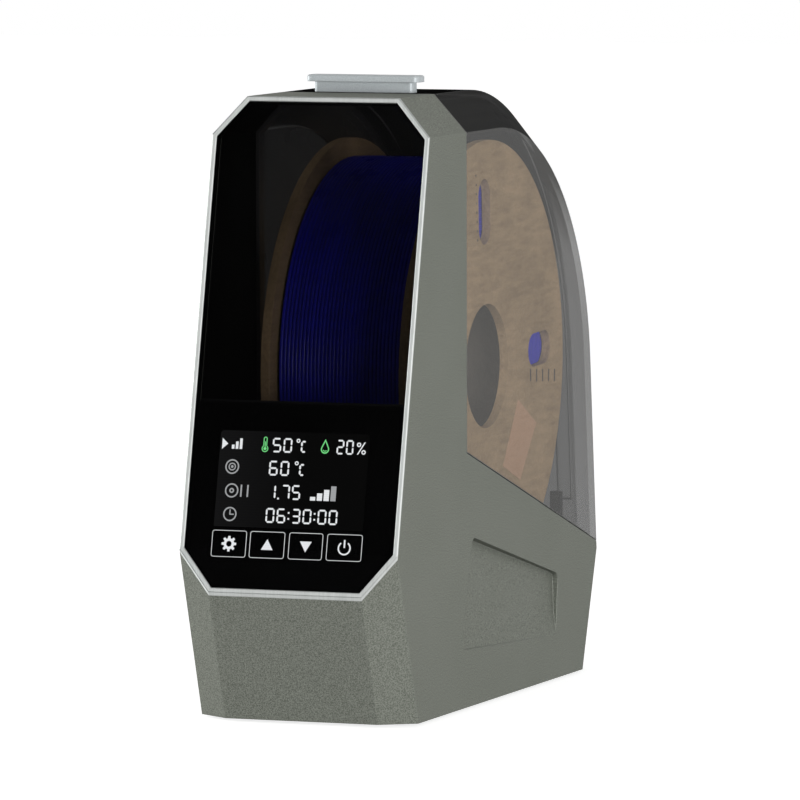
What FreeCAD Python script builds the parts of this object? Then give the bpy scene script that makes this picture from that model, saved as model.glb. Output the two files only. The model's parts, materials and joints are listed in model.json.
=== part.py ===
import FreeCAD, Part
import math
import os

os.makedirs("parts", exist_ok=True)

V = FreeCAD.Vector

# All sizes are in millimetres. X runs to the right, Y to the back and Z up.
# Outer body
body_width = 100.0
body_top = 268.0
shell_depth = 276.5
foot_standoff = 1.2
facet_width = 15.0          # how far a corner facet reaches in from the side
hood_facet = 16.5           # how far it reaches in on the top, the hood and the rear
toe_facet = 9.5             # how far it reaches in below the front panel
panel_tilt = 12.7           # degrees the front panel leans back
panel_foot = 57.7           # height of the panel's lower edge
toe_setback = 19.1
heel_setback = 18.5
hood_radius = 137.5
rear_lean = 5.6             # degrees the hood's rear face leans forward
seam_setback = 89.4         # from the panel's lower edge back to the lid seam
rim_front = 112.3           # height of the rim where it meets the seam
rim_rear = 52.5             # height of the rim at the rear face

# Walls and clearances
housing_wall = 3.2
lid_wall = 2.6
facet_share = 0.4           # step of an inner facet corner for one wall of thickness
seam_gap = 0.4
running_gap = 0.3
spare = 9.0                 # how far a cutting shape reaches past what it cuts
slip_gap = 0.05             # radial play of a turning shaft
fixed_gap = 0.15            # play of a piece that is glued or clipped in place

# Front panel
bezel_depth = 0.8
bezel_width = 2.1
bezel_bevel = 0.4
glass_seat = 3.2            # depth of the rebate that holds the glass and its mask
glass_inset = 0.2           # glass face behind the bezel face
mask_thickness = 0.4
mask_border = 0.8
window_low = 82.7           # lower edge of the clear window, measured up the panel
lcd_width = 72.0
lcd_height = 58.0
lcd_low = 13.0
lcd_thickness = 4.2
lcd_lip = 1.4
chip_size = 8.0
chip_height = 1.2
board_thickness = 1.6
carrier_wall = 1.8
carrier_margin = 3.0
carrier_ear = 5.0
ribbon_up = 7.5             # where the display's cable leaves, above the carrier's lower edge
ribbon_width = 14.0
ribbon_thickness = 0.4

# Grip recess in each side
grip_start = 7.0            # behind the seam
grip_length = 111.0
grip_front_height = 75.2
grip_rear_height = 48.2
grip_front_low = 27.0
grip_rear_low = 20.8
grip_rake = 14.0            # how far the front end leans forward on its way down
grip_tail = 3.0             # the same for the rear end
grip_depth_top = 4.6
grip_depth_low = 1.7
grip_lip = 4.4
grip_wall = 2.0
grip_corner = 4.0

# Lid hinge
hinge_outset = 1.3
hinge_station = 22.0
knuckle_radius = 4.2
knuckle_length = 8.0
knuckle_gap = 0.2
hinge_pin_radius = 1.5
rail_inner = 27.4           # edges of the stiffening rails inside the hood
rail_outer = 34.0
rail_height = 0.8
rail_start = 6.0            # behind the seam
rail_foot = 75.0

# Gasket along the seam and the rim
gasket_thickness = 1.6
gasket_grip = 3.0           # on the housing's side of the seam
gasket_lip = 2.2            # on the lid's side

# Lid handle
handle_setback = 3.6        # behind the seam
handle_neck_width = 46.0
handle_neck_depth = 7.0
handle_neck_height = 4.6
handle_flange_width = 52.0
handle_flange_depth = 11.0
handle_flange_height = 2.9
handle_corner = 2.6
handle_screw_spacing = 30.0
handle_screw_radius = 1.5
handle_screw_head = 2.8

# Filament outlet in the hood
port_angle = 48.0           # degrees up from the rear
port_bore_radius = 2.1
port_neck_radius = 5.0
port_flange_radius = 8.0
port_flange = 1.6
port_nose_radius = 4.2
port_nose = 5.0

# Spool
spool_radius = 100.0
spool_width = 68.0
spool_setback = 158.7       # behind the panel's lower edge
spool_clear = 44.7          # height of the spool's rim above the ground
flange_thickness = 4.0
hub_radius = 27.5
drum_radius = 45.0
drum_wall = 3.0
slot_inset = 31.5           # middle of a flange slot, in from the rim
slot_length = 29.0
slot_width = 15.0
slot_phase = 2.4            # degrees the spool happens to be turned
wire_radius = 0.875
wire_pitch = 2.4
wire_margin = 1.2           # from the outer turns to the flanges
wound_inset = 9.8           # outside of the wound core, in from the rim

# Rollers
roller_angle = 38.0         # degrees to either side of straight down
roller_radius = 9.0
roller_width = 9.0
roller_end_gap = 1.3        # roller to bracket
roller_floor_gap = 1.8      # roller to tray
tyre_thickness = 2.2
shaft_radius = 3.0
bush_radius = 5.0
bracket_width = 3.4
bracket_foot = 16.0

# Chamber tray
tray_thickness = 2.0
tray_gap = 0.8              # tray edge to the back of the grips
trough_gap = 4.5            # spool rim to trough
partition_depth = 16.5      # front partition behind the panel face
grille_slot = 3.0
grille_rows = 6
grille_half_width = 18.0
post_inset = 5.6            # screw post, in from the tray's edge
post_front_reach = 35.7     # from the spool's axis
post_rear_reach = 38.3
post_radius = 4.0
post_screw_radius = 1.5
post_screw_head = 3.0
post_screw_length = 11.0
screw_sink = 1.6            # depth of the seat for a bottom screw's head

# Bottom plate and feet
plate_thickness = 2.5
foot_radius = 6.5
foot_recess = 1.3
foot_inset = 20.0           # in from the side
foot_front_setback = 29.9   # from the base's front and rear edges
foot_rear_setback = 33.0
vent_count = 7
vent_pitch = 6.0
vent_slot = 2.4
vent_half_width = 16.0

# Air heater
blower_reach = 48.3         # behind the spool's axis
blower_radius = 31.5
blower_height = 24.0
blower_floor = 6.0
blower_wall = 1.6
intake_radius = 19.0
impeller_radius = 27.0
impeller_blades = 16
impeller_hub_radius = 9.0
spindle_radius = 1.5
duct_half_width = 23.0
duct_reach = 31.7           # in front of the spool's axis
duct_wall = 1.2
heater_depth = 15.0
heater_fins = 11
fin_thickness = 0.7

# Electronics
plug_setback = 24.0         # the display's connector, from the control board's front edge
plug_height = 4.0
control_setback = 15.9      # from the base's front edge
control_length = 66.0
control_half_width = 36.0
standoff_height = 5.0
standoff_half_width = 2.6
inlet_half_width = 16.5
inlet_low = 13.5
inlet_high = 40.5
inlet_depth = 17.0
inlet_setback = 15.0        # in front of the rear face
socket_width = 24.0
socket_height = 16.5
socket_depth = 14.5
sensor_width = 5.0
sensor_gap = 1.4            # beside the spool
sensor_lead = 3.5           # behind the rear roller's bracket
sensor_height = 34.2

# Positions that follow from the sizes above
half_width = body_width / 2
front_y = -(shell_depth + hinge_outset + knuckle_radius) / 2
rear_y = front_y + shell_depth
seam_y = front_y + seam_setback
tilt = math.radians(panel_tilt)
lean = math.radians(rear_lean)
rim_slope = (rim_front - rim_rear) / (rear_y - seam_y)
hood_z = body_top - hood_radius
hood_y = rear_y - (hood_radius - (rim_rear - hood_z) * math.sin(lean)) / math.cos(lean)
toe = (front_y + toe_setback, foot_standoff)
heel = (rear_y - heel_setback, foot_standoff)
panel_low = (front_y, panel_foot)
panel_high = (front_y + (body_top - panel_foot) * math.tan(tilt), body_top)
hood_start = (hood_y, body_top)
hood_end = (hood_y + hood_radius * math.cos(lean), hood_z + hood_radius * math.sin(lean))
rear_low = (rear_y, rim_rear)
hinge_y = rear_y + hinge_outset
hinge_z = rim_rear
spool_y = front_y + spool_setback
spool_height = spool_clear + spool_radius
spool_axis = V(0, spool_y, spool_height)
flange_inner = spool_width / 2 - flange_thickness
slot_radius = spool_radius - slot_inset
wound_radius = spool_radius - wound_inset
wire_turns = int((2 * flange_inner - 2 * wire_margin) / wire_pitch + 0.01)
roller_reach = spool_radius + roller_radius + running_gap
roller_spread = roller_reach * math.sin(math.radians(roller_angle))
roller_z = spool_height - roller_reach * math.cos(math.radians(roller_angle))
roller_ys = {"front": spool_y - roller_spread, "rear": spool_y + roller_spread}
roller_hub_radius = roller_radius - tyre_thickness
roller_middle = flange_inner + flange_thickness / 2
bracket_inner = roller_middle + roller_width / 2 + roller_end_gap
trough_radius = spool_radius + trough_gap
tray_floor = roller_z - roller_radius - roller_floor_gap
tray_half_width = half_width - grip_depth_top - grip_wall - tray_gap
plate_top = foot_standoff + plate_thickness
post_places = [(x, y) for x in (post_inset - tray_half_width, tray_half_width - post_inset)
               for y in (spool_y - post_front_reach, spool_y + post_rear_reach)]
foot_places = [(x, y) for x in (foot_inset - half_width, half_width - foot_inset)
               for y in (toe[0] + foot_front_setback, heel[0] - foot_rear_setback)]
control_front_y = toe[0] + control_setback
control_rear_y = control_front_y + control_length
blower_y = spool_y + blower_reach
duct_front_y = spool_y - duct_reach
inlet_face_y = rear_y - inlet_setback
sensor_inner = spool_width / 2 + sensor_gap
sensor_y = roller_ys["rear"] + bracket_foot / 2 + sensor_lead
sensor_top = tray_floor + sensor_height
panel_turn = FreeCAD.Rotation(V(1, 0, 0), 90 - panel_tilt)
panel_frame = FreeCAD.Placement(V(0, front_y, panel_foot), panel_turn)


def box(x_low, x_high, y_low, y_high, z_low, z_high):
    return Part.makeBox(x_high - x_low, y_high - y_low, z_high - z_low, V(x_low, y_low, z_low))


def x_rod(radius, x_low, x_high, y, z):
    return Part.makeCylinder(radius, x_high - x_low, V(x_low, y, z), V(1, 0, 0))


def z_rod(radius, x, y, z_low, z_high):
    return Part.makeCylinder(radius, z_high - z_low, V(x, y, z_low))


def yz_prism(points, x_low, x_high):
    corners = [V(x_low, y, z) for y, z in points]
    return Part.Face(Part.makePolygon(corners + corners[:1])).extrude(V(x_high - x_low, 0, 0))


def join(shapes):
    whole = shapes[0].multiFuse(shapes[1:]) if len(shapes) > 1 else shapes[0]
    return whole.removeSplitter()


def inset_run(start, end, inset):
    # A straight run of the side profile, moved to its inner side.
    dy, dz = end[0] - start[0], end[1] - start[1]
    size = math.hypot(dy, dz)
    return (start[0] + inset * dz / size, start[1] - inset * dy / size), (dy / size, dz / size)


def crossing(run_a, run_b):
    (ay, az), (ady, adz) = run_a
    (by, bz), (bdy, bdz) = run_b
    along = ((by - ay) * bdz - (bz - az) * bdy) / (ady * bdz - adz * bdy)
    return ay + along * ady, az + along * adz


def ribbon(points, thickness):
    # The outline of a thin strip that follows a bent line.
    sides = []
    for inset in (thickness / 2, -thickness / 2):
        runs = [inset_run(a, b, inset) for a, b in zip(points, points[1:])]
        last = inset_run(points[-1], points[-2], -inset)
        bends = [crossing(a, b) for a, b in zip(runs, runs[1:])]
        sides.append([runs[0][0]] + bends + [last[0]])
    return sides[0] + sides[1][::-1]


def rim_at(y):
    return rim_front - rim_slope * (y - seam_y)


def panel_point(up, depth):
    # A point behind the front panel, in side view.
    return (front_y + up * math.sin(tilt) + depth * math.cos(tilt),
            panel_foot + up * math.cos(tilt) - depth * math.sin(tilt))


def section(x, toe_inset, panel_inset, hood_inset, floor_inset):
    # One side profile of the whole body; its straight runs stay parallel at every inset.
    front = inset_run(toe, panel_low, toe_inset)
    panel = inset_run(panel_low, panel_high, panel_inset)
    top = inset_run(panel_high, hood_start, hood_inset)
    rear = inset_run(hood_end, rear_low, hood_inset)
    back = inset_run(rear_low, heel, hood_inset)
    floor = inset_run(heel, toe, floor_inset)
    radius = hood_radius - hood_inset
    middle = (math.pi / 2 + lean) / 2

    def on_hood(angle):
        return V(x, hood_y + radius * math.cos(angle), hood_z + radius * math.sin(angle))

    corners = [crossing(floor, front), crossing(front, panel), crossing(panel, top)]
    rising = [V(x, y, z) for y, z in corners] + [on_hood(math.pi / 2)]
    corners = [crossing(rear, back), crossing(back, floor), crossing(floor, front)]
    falling = [on_hood(lean)] + [V(x, y, z) for y, z in corners]
    edges = [Part.LineSegment(a, b).toShape() for a, b in zip(rising, rising[1:])]
    edges.append(Part.Arc(rising[-1], on_hood(middle), falling[0]).toShape())
    edges += [Part.LineSegment(a, b).toShape() for a, b in zip(falling, falling[1:])]
    return Part.Wire(edges)


def envelope(wall, panel_inset, floor_inset):
    # The faceted body outline, moved in by one wall thickness.
    step = facet_share * wall
    edge_x = half_width - wall
    flat_x = half_width - facet_width - step
    edge = (toe_facet + step, panel_inset, hood_facet + step, floor_inset)
    flat = (wall, panel_inset, wall, floor_inset)
    right = [section(flat_x, *flat), section(edge_x, *edge)]
    left = [section(-edge_x, *edge), section(-flat_x, *flat)]
    return Part.makeLoft(left + right, True, True)


def behind_seam(gap):
    # The space that belongs to the lid: behind the seam and above the rim.
    rise = gap * math.hypot(1, rim_slope)
    far = rear_y + body_width
    high = body_top + body_width
    start = seam_y + gap
    points = [(start, rim_at(start) + rise), (start, high), (far, high), (far, rim_at(far) + rise)]
    return yz_prism(points, -body_width, body_width)


def grip_outline(margin):
    front_top = seam_y + grip_start
    rear = front_top + grip_length
    corners = [(front_top, grip_front_height), (rear, grip_rear_height),
               (rear - grip_tail, grip_rear_low), (front_top - grip_rake, grip_front_low)]
    runs = [inset_run(a, b, -margin) for a, b in zip(corners, corners[1:] + corners[:1])]
    return [crossing(a, b) for a, b in zip(runs[-1:] + runs[:-1], runs)]


def grip_block(margin, inner):
    # A recess that is deepest under its upper edge, with a sloping lip at the bottom.
    block = yz_prism(grip_outline(margin), 0, body_width)
    if not margin:
        along_x = [e for e in block.Edges if abs(e.tangentAt(e.FirstParameter).x) > 0.99]
        block = block.makeFillet(grip_corner, along_x)
    top_x = half_width - grip_depth_top - inner
    low_x = half_width - grip_depth_low - inner
    points = [(top_x, grip_front_height), (low_x, grip_front_low + grip_lip),
              (half_width - inner, grip_rear_low - margin), (body_width, grip_rear_low - margin),
              (body_width, body_top), (top_x, body_top)]
    corners = [V(x, front_y, z) for x, z in points]
    return block.common(Part.Face(Part.makePolygon(corners + corners[:1])).extrude(V(0, shell_depth, 0)))


def knuckle_spans(station):
    lid = (station - knuckle_length / 2, station + knuckle_length / 2)
    left = (lid[0] - knuckle_gap - knuckle_length, lid[0] - knuckle_gap)
    right = (lid[1] + knuckle_gap, lid[1] + knuckle_gap + knuckle_length)
    return lid, left, right


def hinge_stations():
    return [knuckle_spans(sign * hinge_station) for sign in (-1, 1)]


def main_housing():
    shell = envelope(0, bezel_depth, 0).cut(behind_seam(0))
    shell = shell.cut(envelope(housing_wall, -housing_wall, -housing_wall))
    shell = shell.cut(on_panel(panel_prism(bezel_width, -glass_seat, glass_seat)))
    inside = box(0, half_width - housing_wall / 2, front_y, rear_y, 0, body_top)
    backing = grip_block(grip_wall, grip_wall).common(inside)
    pocket = grip_block(0, 0)
    mirror = (V(0, 0, 0), V(1, 0, 0))
    shell = shell.multiFuse([backing, backing.mirror(*mirror)]).cut([pocket, pocket.mirror(*mirror)])
    socket_half = inlet_half_width + fixed_gap
    shell = shell.cut(box(-socket_half, socket_half, inlet_face_y - inlet_depth, rear_y,
                          inlet_low - fixed_gap, inlet_high + fixed_gap))
    knuckles = []
    for lid, left, right in hinge_stations():
        knuckles += [x_rod(knuckle_radius, *span, hinge_y, hinge_z) for span in (left, right)]
    shell = shell.multiFuse(knuckles)
    for lid, left, right in hinge_stations():
        ends = (lid[0] - knuckle_gap, lid[1] + knuckle_gap)
        room = x_rod(knuckle_radius + running_gap, *ends, hinge_y, hinge_z)
        pin = x_rod(hinge_pin_radius, left[0] - spare, right[1] + spare, hinge_y, hinge_z)
        shell = shell.cut([room, pin])
    return shell.removeSplitter()


def rim_gasket():
    # A soft lip inside the housing's seam and rim that the lid closes over.
    ring = envelope(housing_wall, 0, 0).cut(envelope(housing_wall + gasket_thickness, -spare, -spare))
    reach = behind_seam(-gasket_grip).cut(behind_seam(seam_gap + gasket_lip))
    lip = ring.common(reach)
    for lid, left, right in hinge_stations():
        lip = lip.cut(x_rod(knuckle_radius + running_gap, left[0] - 1, right[1] + 1, hinge_y, hinge_z))
    return lip


def panel_outline(inset):
    # The panel's octagon in its own plane.
    edge = section(0, toe_facet, 0, hood_facet, 0)
    flat = section(0, 0, 0, 0, 0)
    flat_x = half_width - facet_width
    to_panel = panel_frame.inverse()
    corners = []
    for wire, x in ((flat, flat_x), (edge, half_width)):
        low, high = sorted((to_panel.multVec(v.Point) for v in wire.Vertexes[1:3]), key=lambda p: p.y)
        corners.append((x, low.y, high.y))
    (fx, f_low, f_high), (ex, e_low, e_high) = corners
    right = [V(fx, f_low, 0), V(ex, e_low, 0), V(ex, e_high, 0), V(fx, f_high, 0)]
    loop = right + [V(-p.x, p.y, 0) for p in reversed(right)]
    wire = Part.makePolygon(loop + loop[:1])
    return wire.makeOffset2D(-inset, 2) if inset else wire


def panel_prism(inset, back, front):
    prism = Part.Face(panel_outline(inset)).extrude(V(0, 0, front - back))
    prism.translate(V(0, 0, back))
    return prism


def on_panel(shape):
    shape.Placement = panel_frame.multiply(shape.Placement)
    return shape


def bevelled_outline(inset, slope):
    # The space inside the panel's outline, closing in by the bevel towards the face.
    wide = panel_outline(inset)
    narrow = panel_outline(inset + slope * bezel_bevel)
    wide.translate(V(0, 0, -bezel_bevel))
    return Part.makeLoft([wide, narrow], True, True)


def front_bezel():
    frame = envelope(0, 0, 0).cut(envelope(0, bezel_depth, -spare))
    face_slice = panel_prism(0, -bezel_bevel, 1).cut(bevelled_outline(0, 1))
    opening = panel_prism(bezel_width, -spare, spare).fuse(bevelled_outline(bezel_width, -1))
    return frame.cut(on_panel(opening)).cut(on_panel(face_slice)).removeSplitter()


def front_glass():
    return on_panel(panel_prism(bezel_width + fixed_gap, mask_thickness - glass_seat, -glass_inset))


def glass_mask():
    # The printed border and the opaque lower part behind the glass.
    back = -glass_seat
    front = back + mask_thickness
    edge = bezel_width + fixed_gap
    window = panel_prism(edge + mask_border, -spare, spare)
    below = box(-body_width, body_width, -spare, window_low, -spare, spare)
    return on_panel(panel_prism(edge, back, front).cut(window.cut(below)))


def lcd_module():
    back = -glass_seat - lcd_thickness
    body = box(-lcd_width / 2, lcd_width / 2, lcd_low, lcd_low + lcd_height, back, -glass_seat)
    half = lcd_width / 2 + lcd_lip
    lip = box(-half, half, lcd_low - lcd_lip, lcd_low + lcd_height + lcd_lip, back, back + lcd_lip)
    return on_panel(join([body, lip]))


def touch_board():
    front = -glass_seat - lcd_thickness
    back = front - board_thickness
    board = box(-lcd_width / 2, lcd_width / 2, lcd_low, lcd_low + lcd_height, back, front)
    low = lcd_low + lcd_height / 2 - chip_size
    chips = [box(x, x + chip_size, low, low + chip_size, back - chip_height, back) for x in (-22, 2)]
    return on_panel(join([board] + chips))


def carrier_floor():
    return glass_seat + lcd_thickness + board_thickness + chip_height + running_gap


def display_carrier():
    half = lcd_width / 2 + carrier_margin
    low = lcd_low - carrier_margin
    high = lcd_low + lcd_height + carrier_margin
    back = -carrier_floor() - carrier_wall
    tub = box(-half, half, low, high, back, -glass_seat)
    inner = half - carrier_wall / 2
    rim = carrier_wall / 2
    tub = tub.cut(box(-inner, inner, low + rim, high - rim, -carrier_floor(), 0))
    slot_half = ribbon_width / 2 + 1
    slot = box(-slot_half, slot_half, low + ribbon_up - 2.5, low + ribbon_up + 2.5, back - 1, 0)
    ears = []
    for x in (-half - carrier_ear, half):
        ears.append(box(x, x + carrier_ear, low + 6, low + 16, -glass_seat - 4, -glass_seat))
    return on_panel(join([tub] + ears).cut(slot))


def display_cable():
    # Out of the carrier, down in front of the partition and back to the control board.
    up = lcd_low - carrier_margin + ribbon_up
    board_back = glass_seat + lcd_thickness + board_thickness
    clear = carrier_floor() + carrier_wall + 1.6
    plug_z = plate_top + standoff_height + board_thickness + plug_height / 2
    plug_y = control_front_y + plug_setback
    turn = panel_point(up, clear)
    drop = (turn[1] - tray_floor + 2 * tray_thickness) / math.cos(tilt)
    path = [panel_point(up, board_back), turn, panel_point(up - drop, clear)]
    path += [(plug_y - 10, plug_z), (plug_y, plug_z)]
    return yz_prism(ribbon(path, ribbon_thickness), -ribbon_width / 2, ribbon_width / 2)


def tray_profile():
    # Front shelf behind the glass, partition, floor, and the trough under the spool.
    floor = tray_floor - tray_thickness / 2
    shelf_up = window_low + 0.2
    shelf_front = panel_point(shelf_up, glass_seat + 0.4)
    shelf_back = panel_point(shelf_up, partition_depth)
    drop = (floor - shelf_back[1]) / math.cos(tilt)
    wall_foot = (shelf_back[0] + drop * math.sin(tilt), floor)
    return [shelf_front, shelf_back, wall_foot, (rear_y, floor)]


def chamber_tray():
    plate = yz_prism(ribbon(tray_profile(), tray_thickness), -half_width, half_width)
    trough_x = tray_half_width
    trough = x_rod(trough_radius + tray_thickness, -trough_x, trough_x, spool_y, spool_height)
    trough = trough.common(box(-trough_x, trough_x, front_y, rear_y, 0, tray_floor))
    posts = [z_rod(post_radius, x, y, plate_top, tray_floor) for x, y in post_places]
    tray = plate.multiFuse([trough] + posts)
    tray = tray.cut(x_rod(trough_radius, -half_width, half_width, spool_y, spool_height))
    tray = tray.common(envelope(housing_wall + fixed_gap, glass_seat + fixed_gap, 0))
    keep_in = box(-tray_half_width, tray_half_width, front_y, rear_y, 0, grip_front_height)
    keep_in = keep_in.fuse(box(-half_width, half_width, front_y, rear_y, grip_front_height, body_top))
    tray = tray.common(keep_in)
    for x, y in post_places:
        tray = tray.cut(z_rod(post_screw_radius, x, y, plate_top - 1, plate_top + post_screw_length + 1))
    low = plate_top + blower_height
    half = grille_half_width
    for start in (duct_front_y + 2, blower_y - 16):
        for row in range(grille_rows):
            y = start + row * 2 * grille_slot
            tray = tray.cut(box(-half, half, y, y + grille_slot, low, tray_floor + 1))
    return tray.removeSplitter()


def pillar(x, y, z_low, z_high):
    half = standoff_half_width
    return box(x - half, x + half, y - half, y + half, z_low, z_high)


def bottom_plate():
    inner = envelope(housing_wall + running_gap, housing_wall, -housing_wall)
    plate = inner.common(box(-half_width, half_width, front_y, rear_y, foot_standoff, plate_top))
    root = foot_standoff + plate_thickness / 2
    pegs = []
    for x in (-control_half_width + 5, control_half_width - 5):
        for y in (control_front_y + 5, control_rear_y - 5):
            pegs.append(pillar(x, y, root, plate_top + standoff_height))
    for sign in (-1, 1):
        pegs.append(pillar(sign * (blower_radius - 11), blower_y + 14, root, blower_floor))
        pegs.append(pillar(sign * (duct_half_width - 5), duct_front_y + 18, root, blower_floor - duct_wall))
    inlet_front = inlet_face_y - inlet_depth
    pegs.append(box(-inlet_half_width, inlet_half_width, inlet_front + 3, inlet_front + 7, root, inlet_low))
    plate = plate.multiFuse(pegs)
    for x, y in foot_places:
        plate = plate.cut(z_rod(foot_radius + fixed_gap, x, y, 0, foot_standoff + foot_recess))
    for x, y in post_places:
        plate = plate.cut(z_rod(post_screw_radius + fixed_gap, x, y, 0, plate_top + 1))
        plate = plate.cut(z_rod(post_screw_head + fixed_gap, x, y, 0, foot_standoff + screw_sink))
    for slot in range(vent_count):
        y = control_rear_y - 5 + slot * vent_pitch
        plate = plate.cut(box(-vent_half_width, vent_half_width, y, y + vent_slot, 0, plate_top + 1))
    return plate.removeSplitter()


def rubber_feet():
    top = foot_standoff + foot_recess
    return Part.makeCompound([z_rod(foot_radius, x, y, 0, top) for x, y in foot_places])


def pan_screw(radius, head_radius, head_height, length):
    # Head downwards; its drive is left to the visual model.
    head = Part.makeCylinder(head_radius, head_height)
    return join([head, Part.makeCylinder(radius, length, V(0, 0, head_height))])


def bottom_screws():
    screws = []
    for x, y in post_places:
        screw = pan_screw(post_screw_radius, post_screw_head, screw_sink - 0.2, post_screw_length)
        screw.translate(V(x, y, foot_standoff + 0.2))
        screws.append(screw)
    return Part.makeCompound(screws)


def bracket_places():
    for y in roller_ys.values():
        for x_low in (-bracket_inner - bracket_width, bracket_inner):
            yield y, x_low, x_low + bracket_width


def roller_brackets():
    blocks = []
    for y, x_low, x_high in bracket_places():
        foot = box(x_low, x_high, y - bracket_foot / 2, y + bracket_foot / 2, tray_floor, roller_z)
        crown = x_rod(bracket_foot / 2, x_low, x_high, y, roller_z)
        blocks.append(join([foot, crown]).cut(x_rod(bush_radius, x_low, x_high, y, roller_z)))
    return Part.makeCompound(blocks)


def roller_bushes():
    bushes = []
    for y, x_low, x_high in bracket_places():
        bore = x_rod(shaft_radius + slip_gap, x_low, x_high, y, roller_z)
        bushes.append(x_rod(bush_radius, x_low, x_high, y, roller_z).cut(bore))
    return Part.makeCompound(bushes)


def roller_shaft(y):
    end = bracket_inner + bracket_width
    return x_rod(shaft_radius, -end, end, y, roller_z)


def roller_rings(y, inner, outer):
    # One ring under each flange of the spool.
    rings = []
    for middle in (-roller_middle, roller_middle):
        ends = (middle - roller_width / 2, middle + roller_width / 2)
        rings.append(x_rod(outer, *ends, y, roller_z).cut(x_rod(inner, *ends, y, roller_z)))
    return Part.makeCompound(rings)


def blower_case():
    outlet = duct_half_width - duct_wall
    top = blower_floor + blower_height
    outer = z_rod(blower_radius, 0, blower_y, blower_floor, top)
    outer = outer.fuse(box(-outlet, outlet, blower_y - blower_radius - 3, blower_y, blower_floor, top))
    wall = blower_wall
    inner = z_rod(blower_radius - wall, 0, blower_y, blower_floor + wall, top + 1)
    inner = inner.fuse(box(-outlet + wall, outlet - wall, blower_y - blower_radius - 4, blower_y,
                           blower_floor + wall, top + 1))
    return outer.cut(inner).removeSplitter()


def blower_cover():
    outlet = duct_half_width - duct_wall
    top = blower_floor + blower_height
    cover = z_rod(blower_radius, 0, blower_y, top, top + blower_wall)
    cover = cover.fuse(box(-outlet, outlet, blower_y - blower_radius - 3, blower_y, top, top + blower_wall))
    collar = z_rod(intake_radius + 2, 0, blower_y, top, top + blower_wall + 2)
    return join([cover, collar]).cut(z_rod(intake_radius, 0, blower_y, top - 1, top + 9))


def blower_spindle():
    low = blower_floor + blower_wall
    motor = z_rod(impeller_hub_radius - 1, 0, blower_y, low, low + 3)
    return join([motor, z_rod(spindle_radius, 0, blower_y, low, low + blower_height - 7)])


def blower_impeller():
    low = blower_floor + blower_wall + 3 + running_gap
    high = blower_floor + blower_height - 3.2
    disc = z_rod(impeller_radius, 0, blower_y, low, low + 1.2)
    hub = z_rod(impeller_hub_radius, 0, blower_y, low, low + 10)
    blade_root = impeller_radius * 0.74
    blade_reach = impeller_radius * 0.985
    blades = []
    for count in range(impeller_blades):
        blade = box(blade_root, blade_reach, -0.4, 0.4, low, high)
        blade.rotate(V(blade_reach, 0, 0), V(0, 0, 1), 24)
        blade.rotate(V(0, 0, 0), V(0, 0, 1), count * 360.0 / impeller_blades)
        blade.translate(V(0, blower_y, 0))
        blades.append(blade)
    ring = z_rod(impeller_radius, 0, blower_y, high - 1.2, high)
    ring = ring.cut(z_rod(impeller_radius - 2.4, 0, blower_y, high - 2, high + 1))
    wheel = disc.multiFuse([hub, ring] + blades)
    return wheel.cut(z_rod(spindle_radius + slip_gap, 0, blower_y, low - 1, high + 1)).removeSplitter()


def duct_rear_y():
    return blower_y - blower_radius - 3


def heater_duct():
    half = duct_half_width
    low = blower_floor - duct_wall
    high = blower_floor + blower_height + blower_wall
    rear = duct_rear_y()
    chimney = duct_front_y + 22
    shell = box(-half, half, duct_front_y, rear, low, high)
    shell = shell.fuse(box(-half, half, duct_front_y, chimney, low, high + 3))
    inside = half - duct_wall
    front = duct_front_y + duct_wall
    floor = low + duct_wall
    inner = box(-inside, inside, front, rear + 1, floor, high - duct_wall)
    inner = inner.fuse(box(-inside, inside, front, chimney - duct_wall, floor, high + spare))
    return shell.cut(inner).removeSplitter()


def heater_core():
    half = duct_half_width - duct_wall
    low = blower_floor
    high = blower_floor + blower_height + blower_wall - duct_wall
    rear = duct_rear_y() - 3
    front = rear - heater_depth
    middle = (low + high) / 2
    bars = [box(-half, half, front, rear, z, z + 2) for z in (low, middle - 1, high - 2)]
    fins = []
    for count in range(heater_fins):
        x = (count - (heater_fins - 1) / 2) * (2 * half - 2) / (heater_fins - 1)
        fins.append(box(x - fin_thickness / 2, x + fin_thickness / 2, front + 1, rear - 1, low + 1, high - 1))
    return join(bars + fins)


def control_board():
    low = plate_top + standoff_height
    half = control_half_width
    return box(-half, half, control_front_y, control_rear_y, low, low + board_thickness)


def board_parts():
    top = plate_top + standoff_height + board_thickness
    rear = control_rear_y
    plug_y = control_front_y + plug_setback
    pieces = [box(-32, -12, rear - 22, rear - 6, top, top + 15),
              box(-6, 16, rear - 26, rear - 6, top, top + 17),
              box(22, 34, rear - 30, rear - 8, top, top + 9),
              box(-8, 8, plug_y, plug_y + 6, top, top + plug_height)]
    for x in (-28, -16):
        pieces.append(z_rod(4.5, x, rear - 34, top, top + 14))
    for x in (24, 32):
        pieces.append(z_rod(2.8, x, rear - 40, top, top + 8))
    return Part.makeCompound(pieces)


def power_inlet():
    rear = inlet_face_y
    front = rear - inlet_depth
    body = box(-inlet_half_width, inlet_half_width, front, rear, inlet_low, inlet_high)
    middle = (inlet_low + inlet_high) / 2
    wide, tall = socket_width / 2, socket_height / 2
    cut = 4.5
    points = [(-wide, -tall), (wide, -tall), (wide, tall - cut), (wide - cut, tall), (cut - wide, tall),
              (-wide, tall - cut)]
    corners = [V(x, rear + 1, middle + z) for x, z in points]
    socket = Part.Face(Part.makePolygon(corners + corners[:1])).extrude(V(0, -socket_depth - 1, 0))
    return body.cut(socket)


def inlet_pins():
    middle = (inlet_low + inlet_high) / 2
    floor = inlet_face_y - socket_depth
    blades = [(-7.0, -1.0), (7.0, -1.0), (0.0, 3.0)]
    pins = []
    for x, z in blades:
        pins.append(box(x - 1, x + 1, floor, floor + 11, middle + z - 2, middle + z + 2))
    return Part.makeCompound(pins)


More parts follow.
